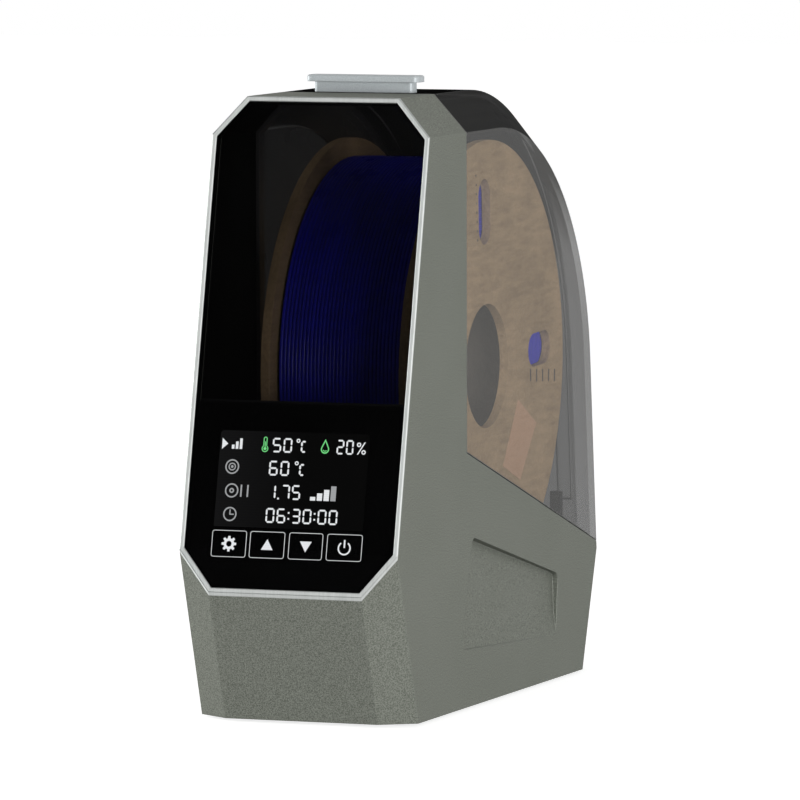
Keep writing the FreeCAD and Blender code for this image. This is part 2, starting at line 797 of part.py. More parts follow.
def humidity_sensor():
    outer = sensor_inner + sensor_width
    stem = box(sensor_inner, outer, sensor_y, sensor_y + 3, tray_floor, sensor_top)
    foot = box(sensor_inner, outer, sensor_y - 3, sensor_y + 6, tray_floor, tray_floor + 2)
    cap = box(sensor_inner + 0.6, outer - 0.6, sensor_y - 1.2, sensor_y, sensor_top - 9, sensor_top - 2)
    return join([stem, foot, cap])


def hinge_pins():
    pins = []
    for lid, left, right in hinge_stations():
        pins.append(x_rod(hinge_pin_radius, left[0], right[1], hinge_y, hinge_z))
    return Part.makeCompound(pins)


def port_frame():
    # Outward direction and the point where the outlet leaves the hood.
    angle = math.radians(port_angle)
    outward = V(0, math.cos(angle), math.sin(angle))
    return outward, V(0, hood_y, hood_z) + outward * hood_radius


def handle_y():
    return seam_y + handle_setback + handle_flange_depth / 2


def lid_shell():
    shell = envelope(0, 0, 0).cut(envelope(lid_wall, -spare, -spare)).common(behind_seam(seam_gap))
    for low, high in ((rail_inner, rail_outer), (-rail_outer, -rail_inner)):
        along = V(high - low, 0, 0)
        outer = Part.Face(section(low, -spare, -spare, lid_wall / 2, -spare)).extrude(along)
        inner = Part.Face(section(low, -spare, -spare, lid_wall + rail_height, -spare)).extrude(along)
        span = box(-half_width, half_width, seam_y + rail_start, rear_y, rail_foot, body_top)
        shell = shell.fuse(outer.cut(inner).common(span).common(envelope(0, 0, 0)))
    for lid, left, right in hinge_stations():
        for low, high in (left, right):
            ends = (low - knuckle_gap, high + knuckle_gap)
            shell = shell.cut(x_rod(knuckle_radius + running_gap, *ends, hinge_y, hinge_z))
        shell = shell.fuse(x_rod(knuckle_radius, *lid, hinge_y, hinge_z))
    for lid, left, right in hinge_stations():
        shell = shell.cut(x_rod(hinge_pin_radius + slip_gap, lid[0] - 1, lid[1] + 1, hinge_y, hinge_z))
    outward, mouth = port_frame()
    shell = shell.cut(Part.makeCylinder(port_neck_radius, 30, mouth - outward * 15, outward))
    for sign in (-1, 1):
        x = sign * handle_screw_spacing / 2
        shell = shell.cut(z_rod(handle_screw_radius + 0.1, x, handle_y(), body_top - 10, body_top + 1))
    return shell.removeSplitter()


def lid_handle():
    y = handle_y()
    half_neck = handle_neck_width / 2
    half_flange = handle_flange_width / 2
    half_depth = handle_neck_depth / 2
    reach = handle_flange_depth / 2
    neck_top = body_top + handle_neck_height
    top = neck_top + handle_flange_height
    neck = box(-half_neck, half_neck, y - half_depth, y + half_depth, body_top, neck_top)
    neck = neck.makeFillet(0.75 * handle_corner, [e for e in neck.Edges if abs(e.tangentAt(0).z) > 0.99])
    flange = box(-half_flange, half_flange, y - reach, y + reach, neck_top, top)
    flange = flange.makeFillet(handle_corner, [e for e in flange.Edges if abs(e.tangentAt(0).z) > 0.99])
    top_edges = [e for e in flange.Edges if all(v.Z > top - 0.01 for v in e.Vertexes)]
    flange = flange.makeChamfer(0.6, top_edges)
    handle = join([neck, flange])
    for sign in (-1, 1):
        x = sign * handle_screw_spacing / 2
        handle = handle.cut(z_rod(handle_screw_radius, x, y, body_top - 1, body_top + 5))
    return handle


def handle_screws():
    screws = []
    for sign in (-1, 1):
        screw = pan_screw(handle_screw_radius, handle_screw_head, 1.6, lid_wall + 4.5)
        screw.translate(V(sign * handle_screw_spacing / 2, handle_y(), body_top - lid_wall - 1.6))
        screws.append(screw)
    return Part.makeCompound(screws)


def filament_port():
    outward, mouth = port_frame()
    inside = mouth - outward * (lid_wall + 0.2)
    neck = Part.makeCylinder(port_neck_radius, lid_wall + 0.4, inside, outward)
    flange = Part.makeCylinder(port_flange_radius, port_flange, mouth + outward * 0.1, outward)
    nose_foot = mouth + outward * port_flange
    nose = Part.makeCone(port_neck_radius + 0.8, port_nose_radius, port_nose, nose_foot, outward)
    lock = Part.makeCylinder(port_neck_radius + 1.2, 1.4, inside - outward * 1.4, outward)
    bore = Part.makeCylinder(port_bore_radius, 40, mouth - outward * 20, outward)
    return join([neck, flange, nose, lock]).cut(bore)


def spool_flange(sign):
    x_low = flange_inner if sign > 0 else -spool_width / 2
    x_high = x_low + flange_thickness
    disc = x_rod(spool_radius, x_low, x_high, spool_y, spool_height)
    disc = disc.cut(x_rod(hub_radius, x_low - 1, x_high + 1, spool_y, spool_height))
    straight = (slot_length - slot_width) / 2
    for quarter in range(4):
        ends = [x_rod(slot_width / 2, x_low - 1, x_high + 1, spool_y, spool_height + slot_radius + shift)
                for shift in (-straight, straight)]
        bar = box(x_low - 1, x_high + 1, spool_y - slot_width / 2, spool_y + slot_width / 2,
                  spool_height + slot_radius - straight, spool_height + slot_radius + straight)
        slot = join(ends + [bar])
        slot.rotate(spool_axis, V(1, 0, 0), slot_phase + 90 * quarter)
        disc = disc.cut(slot)
    return disc


def ring(inner, outer, half_length):
    tube = x_rod(outer, -half_length, half_length, spool_y, spool_height)
    return tube.cut(x_rod(inner, -half_length - 1, half_length + 1, spool_y, spool_height))


def half_turn_arcs(start, start_way, end, end_way):
    # Two arcs that leave one point and reach the next along given directions.
    span = end - start
    ways = start_way + end_way
    spread = 2 * (1 - start_way.dot(end_way))
    reach = (-span.dot(ways) + math.sqrt(span.dot(ways) ** 2 + spread * span.dot(span))) / spread
    knees = (start + start_way * reach, end - end_way * reach)
    meet = (knees[0] + knees[1]) * 0.5
    arcs = []
    for a, knee, b in ((start, knees[0], meet), (meet, knees[1], end)):
        chord = b - a
        middle = (a + b) * 0.5
        bulge = (knee - middle).normalize()
        half_angle = (knee - a).getAngle(chord) / 2
        arcs.append(Part.Arc(a, middle + bulge * (chord.Length / 2 * math.tan(half_angle)), b).toShape())
    return arcs


def winding_path():
    radius = wound_radius + wire_radius + fixed_gap
    start_x = -wire_pitch * wire_turns / 2

    def point(half_turns):
        angle = math.pi * half_turns
        return V(start_x + wire_pitch * half_turns / 2, spool_y + radius * math.sin(angle),
                 spool_height - radius * math.cos(angle))

    def way(half_turns):
        angle = math.pi * half_turns
        rise = wire_pitch / (2 * math.pi)
        return V(rise, radius * math.cos(angle), radius * math.sin(angle)).normalize()

    count = 2 * wire_turns
    lead = 2 * wire_radius
    edges = [Part.LineSegment(point(0) - way(0) * lead, point(0)).toShape()]
    for step in range(count):
        edges += half_turn_arcs(point(step), way(step), point(step + 1), way(step + 1))
    edges.append(Part.LineSegment(point(count), point(count) + way(count) * lead).toShape())
    return edges, way(0)


def report_least_gap(edges):
    # Nearest points of the winding that lie more than half a turn apart.
    spacing = math.pi * wound_radius / 40
    points = []
    for edge in edges:
        points += edge.discretize(max(2, int(edge.Length / spacing)))[1:]
    half_turn = int(math.pi * wound_radius / spacing)
    turn = 2 * half_turn
    nearest = min((points[i] - points[j]).Length for i in range(len(points))
                  for j in range(i + half_turn, min(i + turn + half_turn, len(points))))
    print("least gap of the winding to itself: %.2f mm" % (nearest - 2 * wire_radius))


def filament_winding():
    # One unbroken strand with a four-sided section.
    edges, start_way = winding_path()
    report_least_gap(edges)
    start = edges[0].valueAt(edges[0].FirstParameter)
    outward = start_way.cross(V(1, 0, 0)).normalize()
    sideways = outward.cross(start_way)
    corners = [start + way * wire_radius for way in (outward, sideways, -outward, -sideways)]
    profile = Part.makePolygon(corners + corners[:1])
    return Part.Wire(edges).makePipeShell([profile], True, False)


def export(name, shape):
    shape.exportStep("parts/" + name + ".step")


fixed_pieces = [
    main_housing, rim_gasket, front_bezel, front_glass, glass_mask, lcd_module, touch_board, display_carrier,
    display_cable, chamber_tray, bottom_plate, rubber_feet, bottom_screws, roller_brackets, roller_bushes,
    blower_case, blower_cover, blower_spindle, blower_impeller, heater_duct, heater_core, control_board,
    board_parts, power_inlet, inlet_pins, humidity_sensor, hinge_pins, lid_shell, lid_handle, handle_screws,
    filament_port, filament_winding]
for piece in fixed_pieces:
    export(piece.__name__, piece())
for place, y in roller_ys.items():
    export(place + "_roller_shaft", roller_shaft(y))
    export(place + "_roller_hubs", roller_rings(y, shaft_radius, roller_hub_radius))
    export(place + "_roller_tyres", roller_rings(y, roller_hub_radius, roller_radius))
export("spool_flange_left", spool_flange(-1))
export("spool_flange_right", spool_flange(1))
export("spool_drum", ring(drum_radius - drum_wall, drum_radius, flange_inner))
export("filament_core", ring(drum_radius, wound_radius, flange_inner - running_gap))
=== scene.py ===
import json
import math
import bmesh
import bpy
from mathutils import Matrix, Vector


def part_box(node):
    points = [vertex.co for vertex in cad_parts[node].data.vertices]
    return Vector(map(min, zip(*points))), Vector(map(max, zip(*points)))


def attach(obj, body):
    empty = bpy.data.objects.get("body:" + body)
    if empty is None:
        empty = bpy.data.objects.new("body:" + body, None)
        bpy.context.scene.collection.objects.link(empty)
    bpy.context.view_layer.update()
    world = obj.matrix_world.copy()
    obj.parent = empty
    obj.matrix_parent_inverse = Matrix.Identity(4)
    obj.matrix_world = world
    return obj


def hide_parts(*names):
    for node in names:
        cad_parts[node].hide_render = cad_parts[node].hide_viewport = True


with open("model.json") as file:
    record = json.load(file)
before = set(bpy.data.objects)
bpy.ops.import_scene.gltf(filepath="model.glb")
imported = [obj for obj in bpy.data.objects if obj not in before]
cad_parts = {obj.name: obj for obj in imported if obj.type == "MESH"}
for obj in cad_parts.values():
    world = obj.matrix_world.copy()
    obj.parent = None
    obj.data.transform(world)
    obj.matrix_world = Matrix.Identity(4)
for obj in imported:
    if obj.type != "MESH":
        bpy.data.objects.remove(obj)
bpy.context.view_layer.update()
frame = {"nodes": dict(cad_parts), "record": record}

mm = 0.001
nodes = frame["nodes"]
scene = bpy.context.scene
scene.view_settings.view_transform = "Standard"

# camera at the photograph's viewing angle
shot = {
    "at": (1.246648, -3.295681, 0.425400),
    "right": (0.935338, 0.353749, -0.002125),
    "up": (-0.02757, 0.078882, 0.996503),
    "back": (0.35268, -0.932008, 0.083534),
    "lens": 360.03,
    "sensor": 36.0,
    "farthest": 80.0,
}
camData = bpy.data.cameras.new("shotCamera")
camData.lens, camData.sensor_width, camData.clip_end = shot["lens"], shot["sensor"], shot["farthest"]
camera = bpy.data.objects.new("shotCamera", camData)
turn = Matrix((shot["right"], shot["up"], shot["back"])).transposed().to_4x4()
camera.matrix_world = Matrix.Translation(shot["at"]) @ turn
scene.collection.objects.link(camera)
scene.camera = camera
print("camera placed")


# small tools for node trees
def put(tree, kind, ins=None, **settings):
    node = tree.nodes.new("ShaderNode" + kind)
    for key, value in settings.items():
        setattr(node, key, value)
    for key, value in (ins or {}).items():
        plug(tree, node.inputs[key], value)
    return node


def plug(tree, socket, value):
    if isinstance(value, bpy.types.NodeSocket):
        tree.links.new(value, socket)
    else:
        socket.default_value = value


def calc(tree, operation, a, b=0.0):
    return put(tree, "Math", {0: a, 1: b}, operation=operation).outputs[0]


def times(tree, a, b):
    return calc(tree, "MULTIPLY", a, b)


def larger(tree, a, b):
    return calc(tree, "MAXIMUM", a, b)


def sizeOf(tree, a):
    return calc(tree, "ABSOLUTE", a)


def vectorCalc(tree, operation, a, b, out=0):
    return put(tree, "VectorMath", {0: a, 1: b}, operation=operation).outputs[out]


def xyz(tree, a):
    return put(tree, "SeparateXYZ", {0: a}).outputs


def spread(tree, value, low, high, toLow=0.0, toHigh=1.0):
    return put(tree, "MapRange", {"Value": value, "From Min": low, "From Max": high,
                                  "To Min": toLow, "To Max": toHigh}).outputs["Result"]


def blendColour(tree, share, a, b):
    node = put(tree, "Mix", data_type="RGBA")
    plug(tree, node.inputs[0], share)
    plug(tree, node.inputs[6], a)
    plug(tree, node.inputs[7], b)
    return node.outputs[2]


def noise(tree, where, scale, detail=3.0, rough=0.5):
    return put(tree, "TexNoise", {"Vector": where, "Scale": scale, "Detail": detail,
                                  "Roughness": rough}).outputs["Fac"]


def cellDistance(tree, where, scale, randomness=1.0):
    return put(tree, "TexVoronoi", {"Vector": where, "Scale": scale,
                                    "Randomness": randomness}).outputs["Distance"]


def stretched(tree, where, scale):
    return put(tree, "Mapping", {"Vector": where, "Scale": scale}).outputs[0]


def newGroup(name, ins, outs):
    group = bpy.data.node_groups.new(name, "ShaderNodeTree")
    for label, kind, value in ins:
        socket = group.interface.new_socket(label, in_out="INPUT", socket_type="NodeSocket" + kind)
        socket.default_value = value
    for label, kind in outs:
        group.interface.new_socket(label, in_out="OUTPUT", socket_type="NodeSocket" + kind)
    start = group.nodes.new("NodeGroupInput")
    end = group.nodes.new("NodeGroupOutput")
    return group, start.outputs, end.inputs


def place(tree, group, ins):
    node = tree.nodes.new("ShaderNodeGroup")
    node.node_tree = group
    for key, value in ins.items():
        plug(tree, node.inputs[key], value)
    return node.outputs


def newMaterial(name, **fixed):
    mat = bpy.data.materials.new(name)
    mat.use_nodes = True
    tree = mat.node_tree
    tree.nodes.clear()
    bsdf = put(tree, "BsdfPrincipled")
    out = tree.nodes.new("ShaderNodeOutputMaterial")
    tree.links.new(bsdf.outputs[0], out.inputs[0])
    for key, value in fixed.items():
        bsdf.inputs[key.replace("_", " ")].default_value = value
    return mat, tree, bsdf.inputs


# effects that several finishes share
def makeSkinGroup():  # moulded surface: fine grain, softened edges, edge and speckle masks
    group, ins, outs = newGroup("mouldedSkin", [
        ("Grain Scale", "Float", 1500.0), ("Grain Depth", "Float", 0.00004),
        ("Edge Radius", "Float", 0.0006)], [("Normal", "Vector"), ("Speckle", "Float"), ("Edge", "Float")])
    where = put(group, "TexCoord").outputs["Object"]
    grain = noise(group, where, ins["Grain Scale"], 2.0, 0.6)
    pits = cellDistance(group, where, ins["Grain Scale"])
    height = calc(group, "ADD", grain, times(group, pits, 0.6))
    soft = put(group, "Bevel", {"Radius": ins["Edge Radius"]}, samples=6).outputs[0]
    bump = put(group, "Bump", {"Strength": 1.0, "Distance": ins["Grain Depth"], "Height": height,
                               "Normal": soft})
    group.links.new(bump.outputs[0], outs["Normal"])
    group.links.new(spread(group, grain, 0.36, 0.64), outs["Speckle"])
    flat = put(group, "NewGeometry").outputs["True Normal"]
    bend = vectorCalc(group, "DOT_PRODUCT", soft, flat, "Value")
    group.links.new(spread(group, bend, 0.985, 0.82), outs["Edge"])
    return group


def makeHandlingGroup():  # faint smudges and settled dust, larger than the grain
    group, ins, outs = newGroup("handling", [("Size", "Float", 22.0), ("Dust", "Float", 0.25)],
                                [("Smudge", "Float"), ("Dust", "Float")])
    where = put(group, "TexCoord").outputs["Object"]
    wide = noise(group, where, ins["Size"], 4.0, 0.6)
    group.links.new(spread(group, wide, 0.35, 0.7), outs["Smudge"])
    facing = xyz(group, put(group, "NewGeometry").outputs["Normal"])["Z"]
    up = spread(group, facing, 0.4, 1.0)
    specks = spread(group, noise(group, where, 900.0, 2.0), 0.52, 0.7)
    film = calc(group, "ADD", times(group, specks, 0.6), times(group, wide, 0.4))
    dust = times(group, times(group, up, film), ins["Dust"])
    group.links.new(dust, outs["Dust"])
    return group


def makeFibreGroup():  # pressed paper: long and short fibres, flecks
    group, ins, outs = newGroup("kraftFibre", [("Along", "Vector", (60.0, 900.0, 420.0))],
                                [("Tone", "Float"), ("Fleck", "Float"), ("Height", "Float")])
    where = put(group, "TexCoord").outputs["Object"]
    scaled = vectorCalc(group, "MULTIPLY", where, ins["Along"])
    longFibre = noise(group, scaled, 1.0, 5.0, 0.65)
    shortFibre = noise(group, where, 700.0, 4.0, 0.7)
    cloud = noise(group, where, 30.0, 3.0)
    tone = calc(group, "ADD", times(group, longFibre, 0.5), times(group, shortFibre, 0.5))
    both = calc(group, "ADD", times(group, tone, 0.7), times(group, cloud, 0.3))
    group.links.new(spread(group, both, 0.41, 0.59), outs["Tone"])
    dots = cellDistance(group, where, 420.0)
    rare = spread(group, noise(group, where, 160.0, 2.0), 0.56, 0.62)
    group.links.new(times(group, spread(group, dots, 0.2, 0.1), rare), outs["Fleck"])
    group.links.new(tone, outs["Height"])
    return group


def makeBrushGroup():  # fine drawn lines on metal
    group, ins, outs = newGroup("drawnMetal", [("Along", "Vector", (30.0, 2500.0, 2500.0))],
                                [("Line", "Float"), ("Stain", "Float")])
    where = put(group, "TexCoord").outputs["Object"]
    scaled = vectorCalc(group, "MULTIPLY", where, ins["Along"])
    group.links.new(spread(group, noise(group, scaled, 1.0, 3.0, 0.6), 0.3, 0.7), outs["Line"])
    group.links.new(spread(group, noise(group, where, 120.0, 3.0), 0.4, 0.75), outs["Stain"])
    return group


skin, handling, fibre, drawn = makeSkinGroup(), makeHandlingGroup(), makeFibreGroup(), makeBrushGroup()
print("effects made")


# finishes
# dust and smudges are wear; the edge share sets a painted highlight along convex edges, and the inward
# range picks faces that get painted shade
wearAndPaintedLight = {"edgeHighlightShare": 0.35, "dust": (0.42, 0.41, 0.39, 1), "smudgeSize": 22.0, "smudgeRough": 0.1,
        "inwardFrom": (-0.01, -0.02), "insideRough": 0.95}


def smudgedRough(tree, hand, look):
    return spread(tree, hand["Smudge"], 0, 1, look["rough"], look["rough"] + wearAndPaintedLight["smudgeRough"])


def mouldedPlastic(name, look):
    mat, tree, bsdf = newMaterial(name, Metallic=look.get("metallic", 0.0), IOR=1.46,
                                  Specular_IOR_Level=look.get("specular", 0.4))
    surface = place(tree, skin, {"Grain Scale": look["grain"], "Grain Depth": look["depth"],
                                 "Edge Radius": look["edge"]})
    hand = place(tree, handling, {"Size": wearAndPaintedLight["smudgeSize"], "Dust": look["dust"]})
    tone = blendColour(tree, surface["Speckle"], look["dark"], look["light"])
    # painted highlight: convex edges are lightened towards the edge highlight colour
    tone = blendColour(tree, times(tree, surface["Edge"], wearAndPaintedLight["edgeHighlightShare"]), tone, look["edgeHighlight"])
    tone = blendColour(tree, hand["Dust"], tone, wearAndPaintedLight["dust"])
    if "inside" in look:  # the paint covers only what faces outwards; the bare inside is near-black, pushed darker still as painted shade of the chamber
        coords = put(tree, "TexCoord").outputs
        side = xyz(tree, coords["Object"])["X"]
        slope = xyz(tree, coords["Normal"])["X"]
        inward = spread(tree, times(tree, side, slope), *wearAndPaintedLight["inwardFrom"])
        tone = blendColour(tree, inward, tone, look["inside"])
    rough = smudgedRough(tree, hand, look)
    if "inside" in look:
        rough = larger(tree, rough, times(tree, inward, wearAndPaintedLight["insideRough"]))
    plug(tree, bsdf["Base Color"], tone)
    plug(tree, bsdf["Roughness"], rough)
    plug(tree, bsdf["Normal"], surface["Normal"])
    return mat


plastics = {
    "housing": {"dark": (0.118, 0.126, 0.107, 1), "light": (0.240, 0.254, 0.221, 1),
                "edgeHighlight": (0.32, 0.33, 0.305, 1), "grain": 1900.0, "depth": 0.00005, "edge": 0.0007,
                "rough": 0.42, "metallic": 0.3, "dust": 0.02, "specular": 0.0,
                # inside: bare black plastic, darkened further as painted shade
                "inside": (0.002, 0.002, 0.002, 1)},
    "handle": {"dark": (0.48, 0.52, 0.535, 1), "light": (0.56, 0.60, 0.615, 1),
               "edgeHighlight": (0.68, 0.71, 0.72, 1), "grain": 2200.0, "depth": 0.00002, "edge": 0.0007,
               "rough": 0.34, "metallic": 0.1, "dust": 0.02, "specular": 0.05},
    "black_plastic": {"dark": (0.014, 0.014, 0.015, 1), "light": (0.024, 0.024, 0.025, 1),
                      "edgeHighlight": (0.07, 0.07, 0.07, 1), "grain": 1300.0, "depth": 0.00006, "edge": 0.0004,
                      "rough": 0.5, "dust": 0.04, "specular": 0.12},
    "components": {"dark": (0.02, 0.02, 0.022, 1), "light": (0.045, 0.045, 0.05, 1),
                   "edgeHighlight": (0.12, 0.12, 0.12, 1), "grain": 2600.0, "depth": 0.00003, "edge": 0.0003,
                   "rough": 0.4, "dust": 0.1},
    "rubber_black": {"dark": (0.012, 0.012, 0.012, 1), "light": (0.026, 0.026, 0.026, 1),
                     "edgeHighlight": (0.06, 0.06, 0.06, 1), "grain": 900.0, "depth": 0.00008, "edge": 0.0004,
                     "rough": 0.68, "specular": 0.25, "dust": 0.18},
    "seal": {"dark": (0.045, 0.045, 0.046, 1), "light": (0.07, 0.07, 0.07, 1),
             "edgeHighlight": (0.11, 0.11, 0.11, 1), "grain": 1100.0, "depth": 0.00005, "edge": 0.0003,
             "rough": 0.55, "specular": 0.3, "dust": 0.15},
}
finish = {name: mouldedPlastic(name + "Finish", look) for name, look in plastics.items()}


drawing = {"grain": 2400.0, "lineRough": 0.08, "stainRough": 0.06}


def drawnMetal(name, look):
    mat, tree, bsdf = newMaterial(name, Metallic=1.0)
    lines = place(tree, drawn, {"Along": look["along"]})
    surface = place(tree, skin, {"Grain Scale": drawing["grain"], "Grain Depth": look["depth"],
                                 "Edge Radius": look["edge"]})
    tone = blendColour(tree, lines["Line"], look["dark"], look["light"])
    tone = blendColour(tree, times(tree, lines["Stain"], look["stainShare"]), tone, look["stain"])
    plug(tree, bsdf["Base Color"], tone)
    rough = spread(tree, lines["Line"], 0, 1, look["rough"], look["rough"] + drawing["lineRough"])
    stained = times(tree, lines["Stain"], drawing["stainRough"])
    plug(tree, bsdf["Roughness"], calc(tree, "ADD", rough, stained))
    plug(tree, bsdf["Normal"], surface["Normal"])
    return mat


metals = {
    "bezel": {"dark": (0.40, 0.415, 0.405, 1), "light": (0.49, 0.505, 0.495, 1),
              "stain": (0.25, 0.255, 0.25, 1), "along": (1500.0, 60.0, 60.0), "depth": 0.000006,
              "edge": 0.0003, "rough": 0.54, "stainShare": 0.12},
    "steel": {"dark": (0.42, 0.43, 0.44, 1), "light": (0.58, 0.585, 0.59, 1),
              "stain": (0.30, 0.29, 0.28, 1), "along": (40.0, 2600.0, 2600.0), "depth": 0.00001,
              "edge": 0.0002, "rough": 0.26, "stainShare": 0.2},
    "bush": {"dark": (0.42, 0.28, 0.13, 1), "light": (0.60, 0.42, 0.20, 1),
             "stain": (0.22, 0.14, 0.07, 1), "along": (900.0, 900.0, 900.0), "depth": 0.00003,
             "edge": 0.0002, "rough": 0.38, "stainShare": 0.35},
    "heater_metal": {"dark": (0.56, 0.56, 0.57, 1), "light": (0.74, 0.74, 0.75, 1),
                     "stain": (0.42, 0.41, 0.40, 1), "along": (60.0, 1800.0, 1800.0), "depth": 0.00001,
                     "edge": 0.0002, "rough": 0.32, "stainShare": 0.2},
    "contact": {"dark": (0.62, 0.50, 0.26, 1), "light": (0.78, 0.66, 0.38, 1),
                "stain": (0.36, 0.27, 0.13, 1), "along": (1800.0, 60.0, 1800.0), "depth": 0.00001,
                "edge": 0.0002, "rough": 0.24, "stainShare": 0.2},
}
finish.update({name: drawnMetal(name + "Finish", look) for name, look in metals.items()})


def paleForLight(tree, kept, shade):  # rays that carry light into the chamber meet little of the tint
    path = put(tree, "LightPath").outputs
    goingIn = larger(tree, path["Is Shadow Ray"], path["Is Diffuse Ray"])
    return times(tree, kept, spread(tree, goingIn, 0, 1, 1.0, shade))


def rampOf(tree, value, stops):  # grey ramp through (position, level) stops
    node = put(tree, "ValToRGB", {0: value})
    steps = node.color_ramp.elements
    while len(steps) < len(stops):
        steps.new(0.5)
    for step, (spot, level) in zip(steps, stops):
        step.position, step.color = spot, (level, level, level, 1)
    return node.outputs[0]


def railLines(tree, where, sideways, rails):  # painted shade: dark lines along the edges and foot of the two ribs inside the hood
    spot = xyz(tree, where)
    out = sizeOf(tree, spot["X"])
    edges = [spread(tree, sizeOf(tree, calc(tree, "SUBTRACT", out, rails[edge])), rails["wide"], 0.0)
             for edge in ("inner", "outer")]
    both = calc(tree, "GREATER_THAN", larger(tree, *edges), rails["faintest"])
    overFoot = calc(tree, "SUBTRACT", spot["Z"], rails["foot"])
    foot = calc(tree, "LESS_THAN", sizeOf(tree, overFoot), rails["wide"])
    between = times(tree, calc(tree, "GREATER_THAN", out, rails["inner"]),
                    calc(tree, "LESS_THAN", out, rails["outer"]))
    drawnLine = larger(tree, both, times(tree, foot, between))
    above = calc(tree, "GREATER_THAN", spot["Z"], rails["foot"] - rails["wide"])
    curved = calc(tree, "LESS_THAN", sideways, rails["flatFrom"])
    return times(tree, times(tree, drawnLine, above), times(tree, curved, rails["share"]))


def smokedLid(look):  # flat walls count once, from behind they let nearly all through
    mat, tree, bsdf = newMaterial("smokedLidFinish", IOR=1.5, Specular_IOR_Level=look["specular"])
    surface = place(tree, skin, {"Grain Scale": 300.0, "Grain Depth": 0.000004, "Edge Radius": 0.0008})
    hand = place(tree, handling, {"Size": 14.0, "Dust": 0.1})
    coords = put(tree, "TexCoord").outputs
    lie = xyz(tree, coords["Normal"])
    slope, rise = lie["X"], spread(tree, sizeOf(tree, lie["Z"]), *look["riseFrom"])
    sideways = sizeOf(tree, slope)
    spot = xyz(tree, coords["Object"])["X"]
    flatSide = spread(tree, sideways, *look["flatFrom"])
    facingIn = spread(tree, times(tree, spot, slope), *wearAndPaintedLight["inwardFrom"])
    inward = times(tree, flatSide, facingIn)
    outward = calc(tree, "SUBTRACT", 1.0, inward)
    # painted light: the crown is painted near-black as shade, and the grey side tone is a painted reflected
    # haze
    tone = blendColour(tree, rampOf(tree, sideways, look["toneStops"]), look["crown"], look["side"])
    # painted reflection: faint light streaks across the crown
    streaks = noise(tree, stretched(tree, coords["Object"], look["streakReflectionStretch"]), 1.0, 2.0)
    paintedStreakReflection = times(tree, spread(tree, streaks, *look["streakReflectionFrom"]), spread(tree, sideways, *look["crownFrom"]))
    tone = blendColour(tree, paintedStreakReflection, tone, look["paintedStreakReflection"])
    # painted shade: inward faces of the hood are darkened towards the inside tone
    tone = blendColour(tree, inward, tone, look["inside"])
    # painted highlight: light lines along the hood's edges
    tone = blendColour(tree, times(tree, surface["Edge"], look["edgeHighlightShare"]), tone, look["edge"])
    smudged = times(tree, hand["Smudge"], times(tree, flatSide, look["smudgeShare"]))
    tone = blendColour(tree, smudged, tone, look["smudge"])
    line = railLines(tree, coords["Object"], sideways, look["rails"])
    # painted shade lines on the ribs
    tone = blendColour(tree, line, tone, look["paintedRailShade"])
    plug(tree, bsdf["Base Color"], tone)
    plug(tree, bsdf["Roughness"], smudgedRough(tree, hand, look))
    plug(tree, bsdf["Normal"], surface["Normal"])
    facing = put(tree, "LayerWeight", {"Blend": 0.5}).outputs["Facing"]
    veil = larger(tree, rampOf(tree, facing, look["grazing"]), rampOf(tree, sideways, look["veil"]))
    veil = larger(tree, veil, times(tree, inward, look["far"]))
    veil = larger(tree, veil, times(tree, rise, look["top"]))
    # the painted edge highlight lines are made more opaque
    veil = calc(tree, "ADD", veil, times(tree, surface["Edge"], look["edgeHighlightVeil"]))
    plug(tree, bsdf["Coat Weight"], times(tree, outward, rampOf(tree, sideways, look["gloss"])))
    bsdf["Coat Roughness"].default_value, bsdf["Coat IOR"].default_value = look["coat"]
    behind = put(tree, "NewGeometry").outputs["Backfacing"]
    kept = times(tree, veil, spread(tree, behind, 0, 1, 1.0, rampOf(tree, sideways, look["fromBehind"])))
    fromMiddle = vectorCalc(tree, "SUBTRACT", coords["Object"], look["middle"])
    within = vectorCalc(tree, "DOT_PRODUCT", fromMiddle, coords["Normal"], "Value")
    upright = calc(tree, "SUBTRACT", 1.0, rise)
    rear = times(tree, upright, spread(tree, sizeOf(tree, lie["Y"]), *look["rearFrom"]))
    farRear = times(tree, rear, spread(tree, within, *look["withinFrom"]))  # seen through the chamber
    wallShare = spread(tree, behind, 0, 1, look["rearInner"], look["rearOuter"])
    kept = times(tree, kept, spread(tree, farRear, 0, 1, 1.0, wallShare))
    kept = larger(tree, kept, line)
    plug(tree, bsdf["Alpha"], paleForLight(tree, kept, look["shade"]))
    return mat


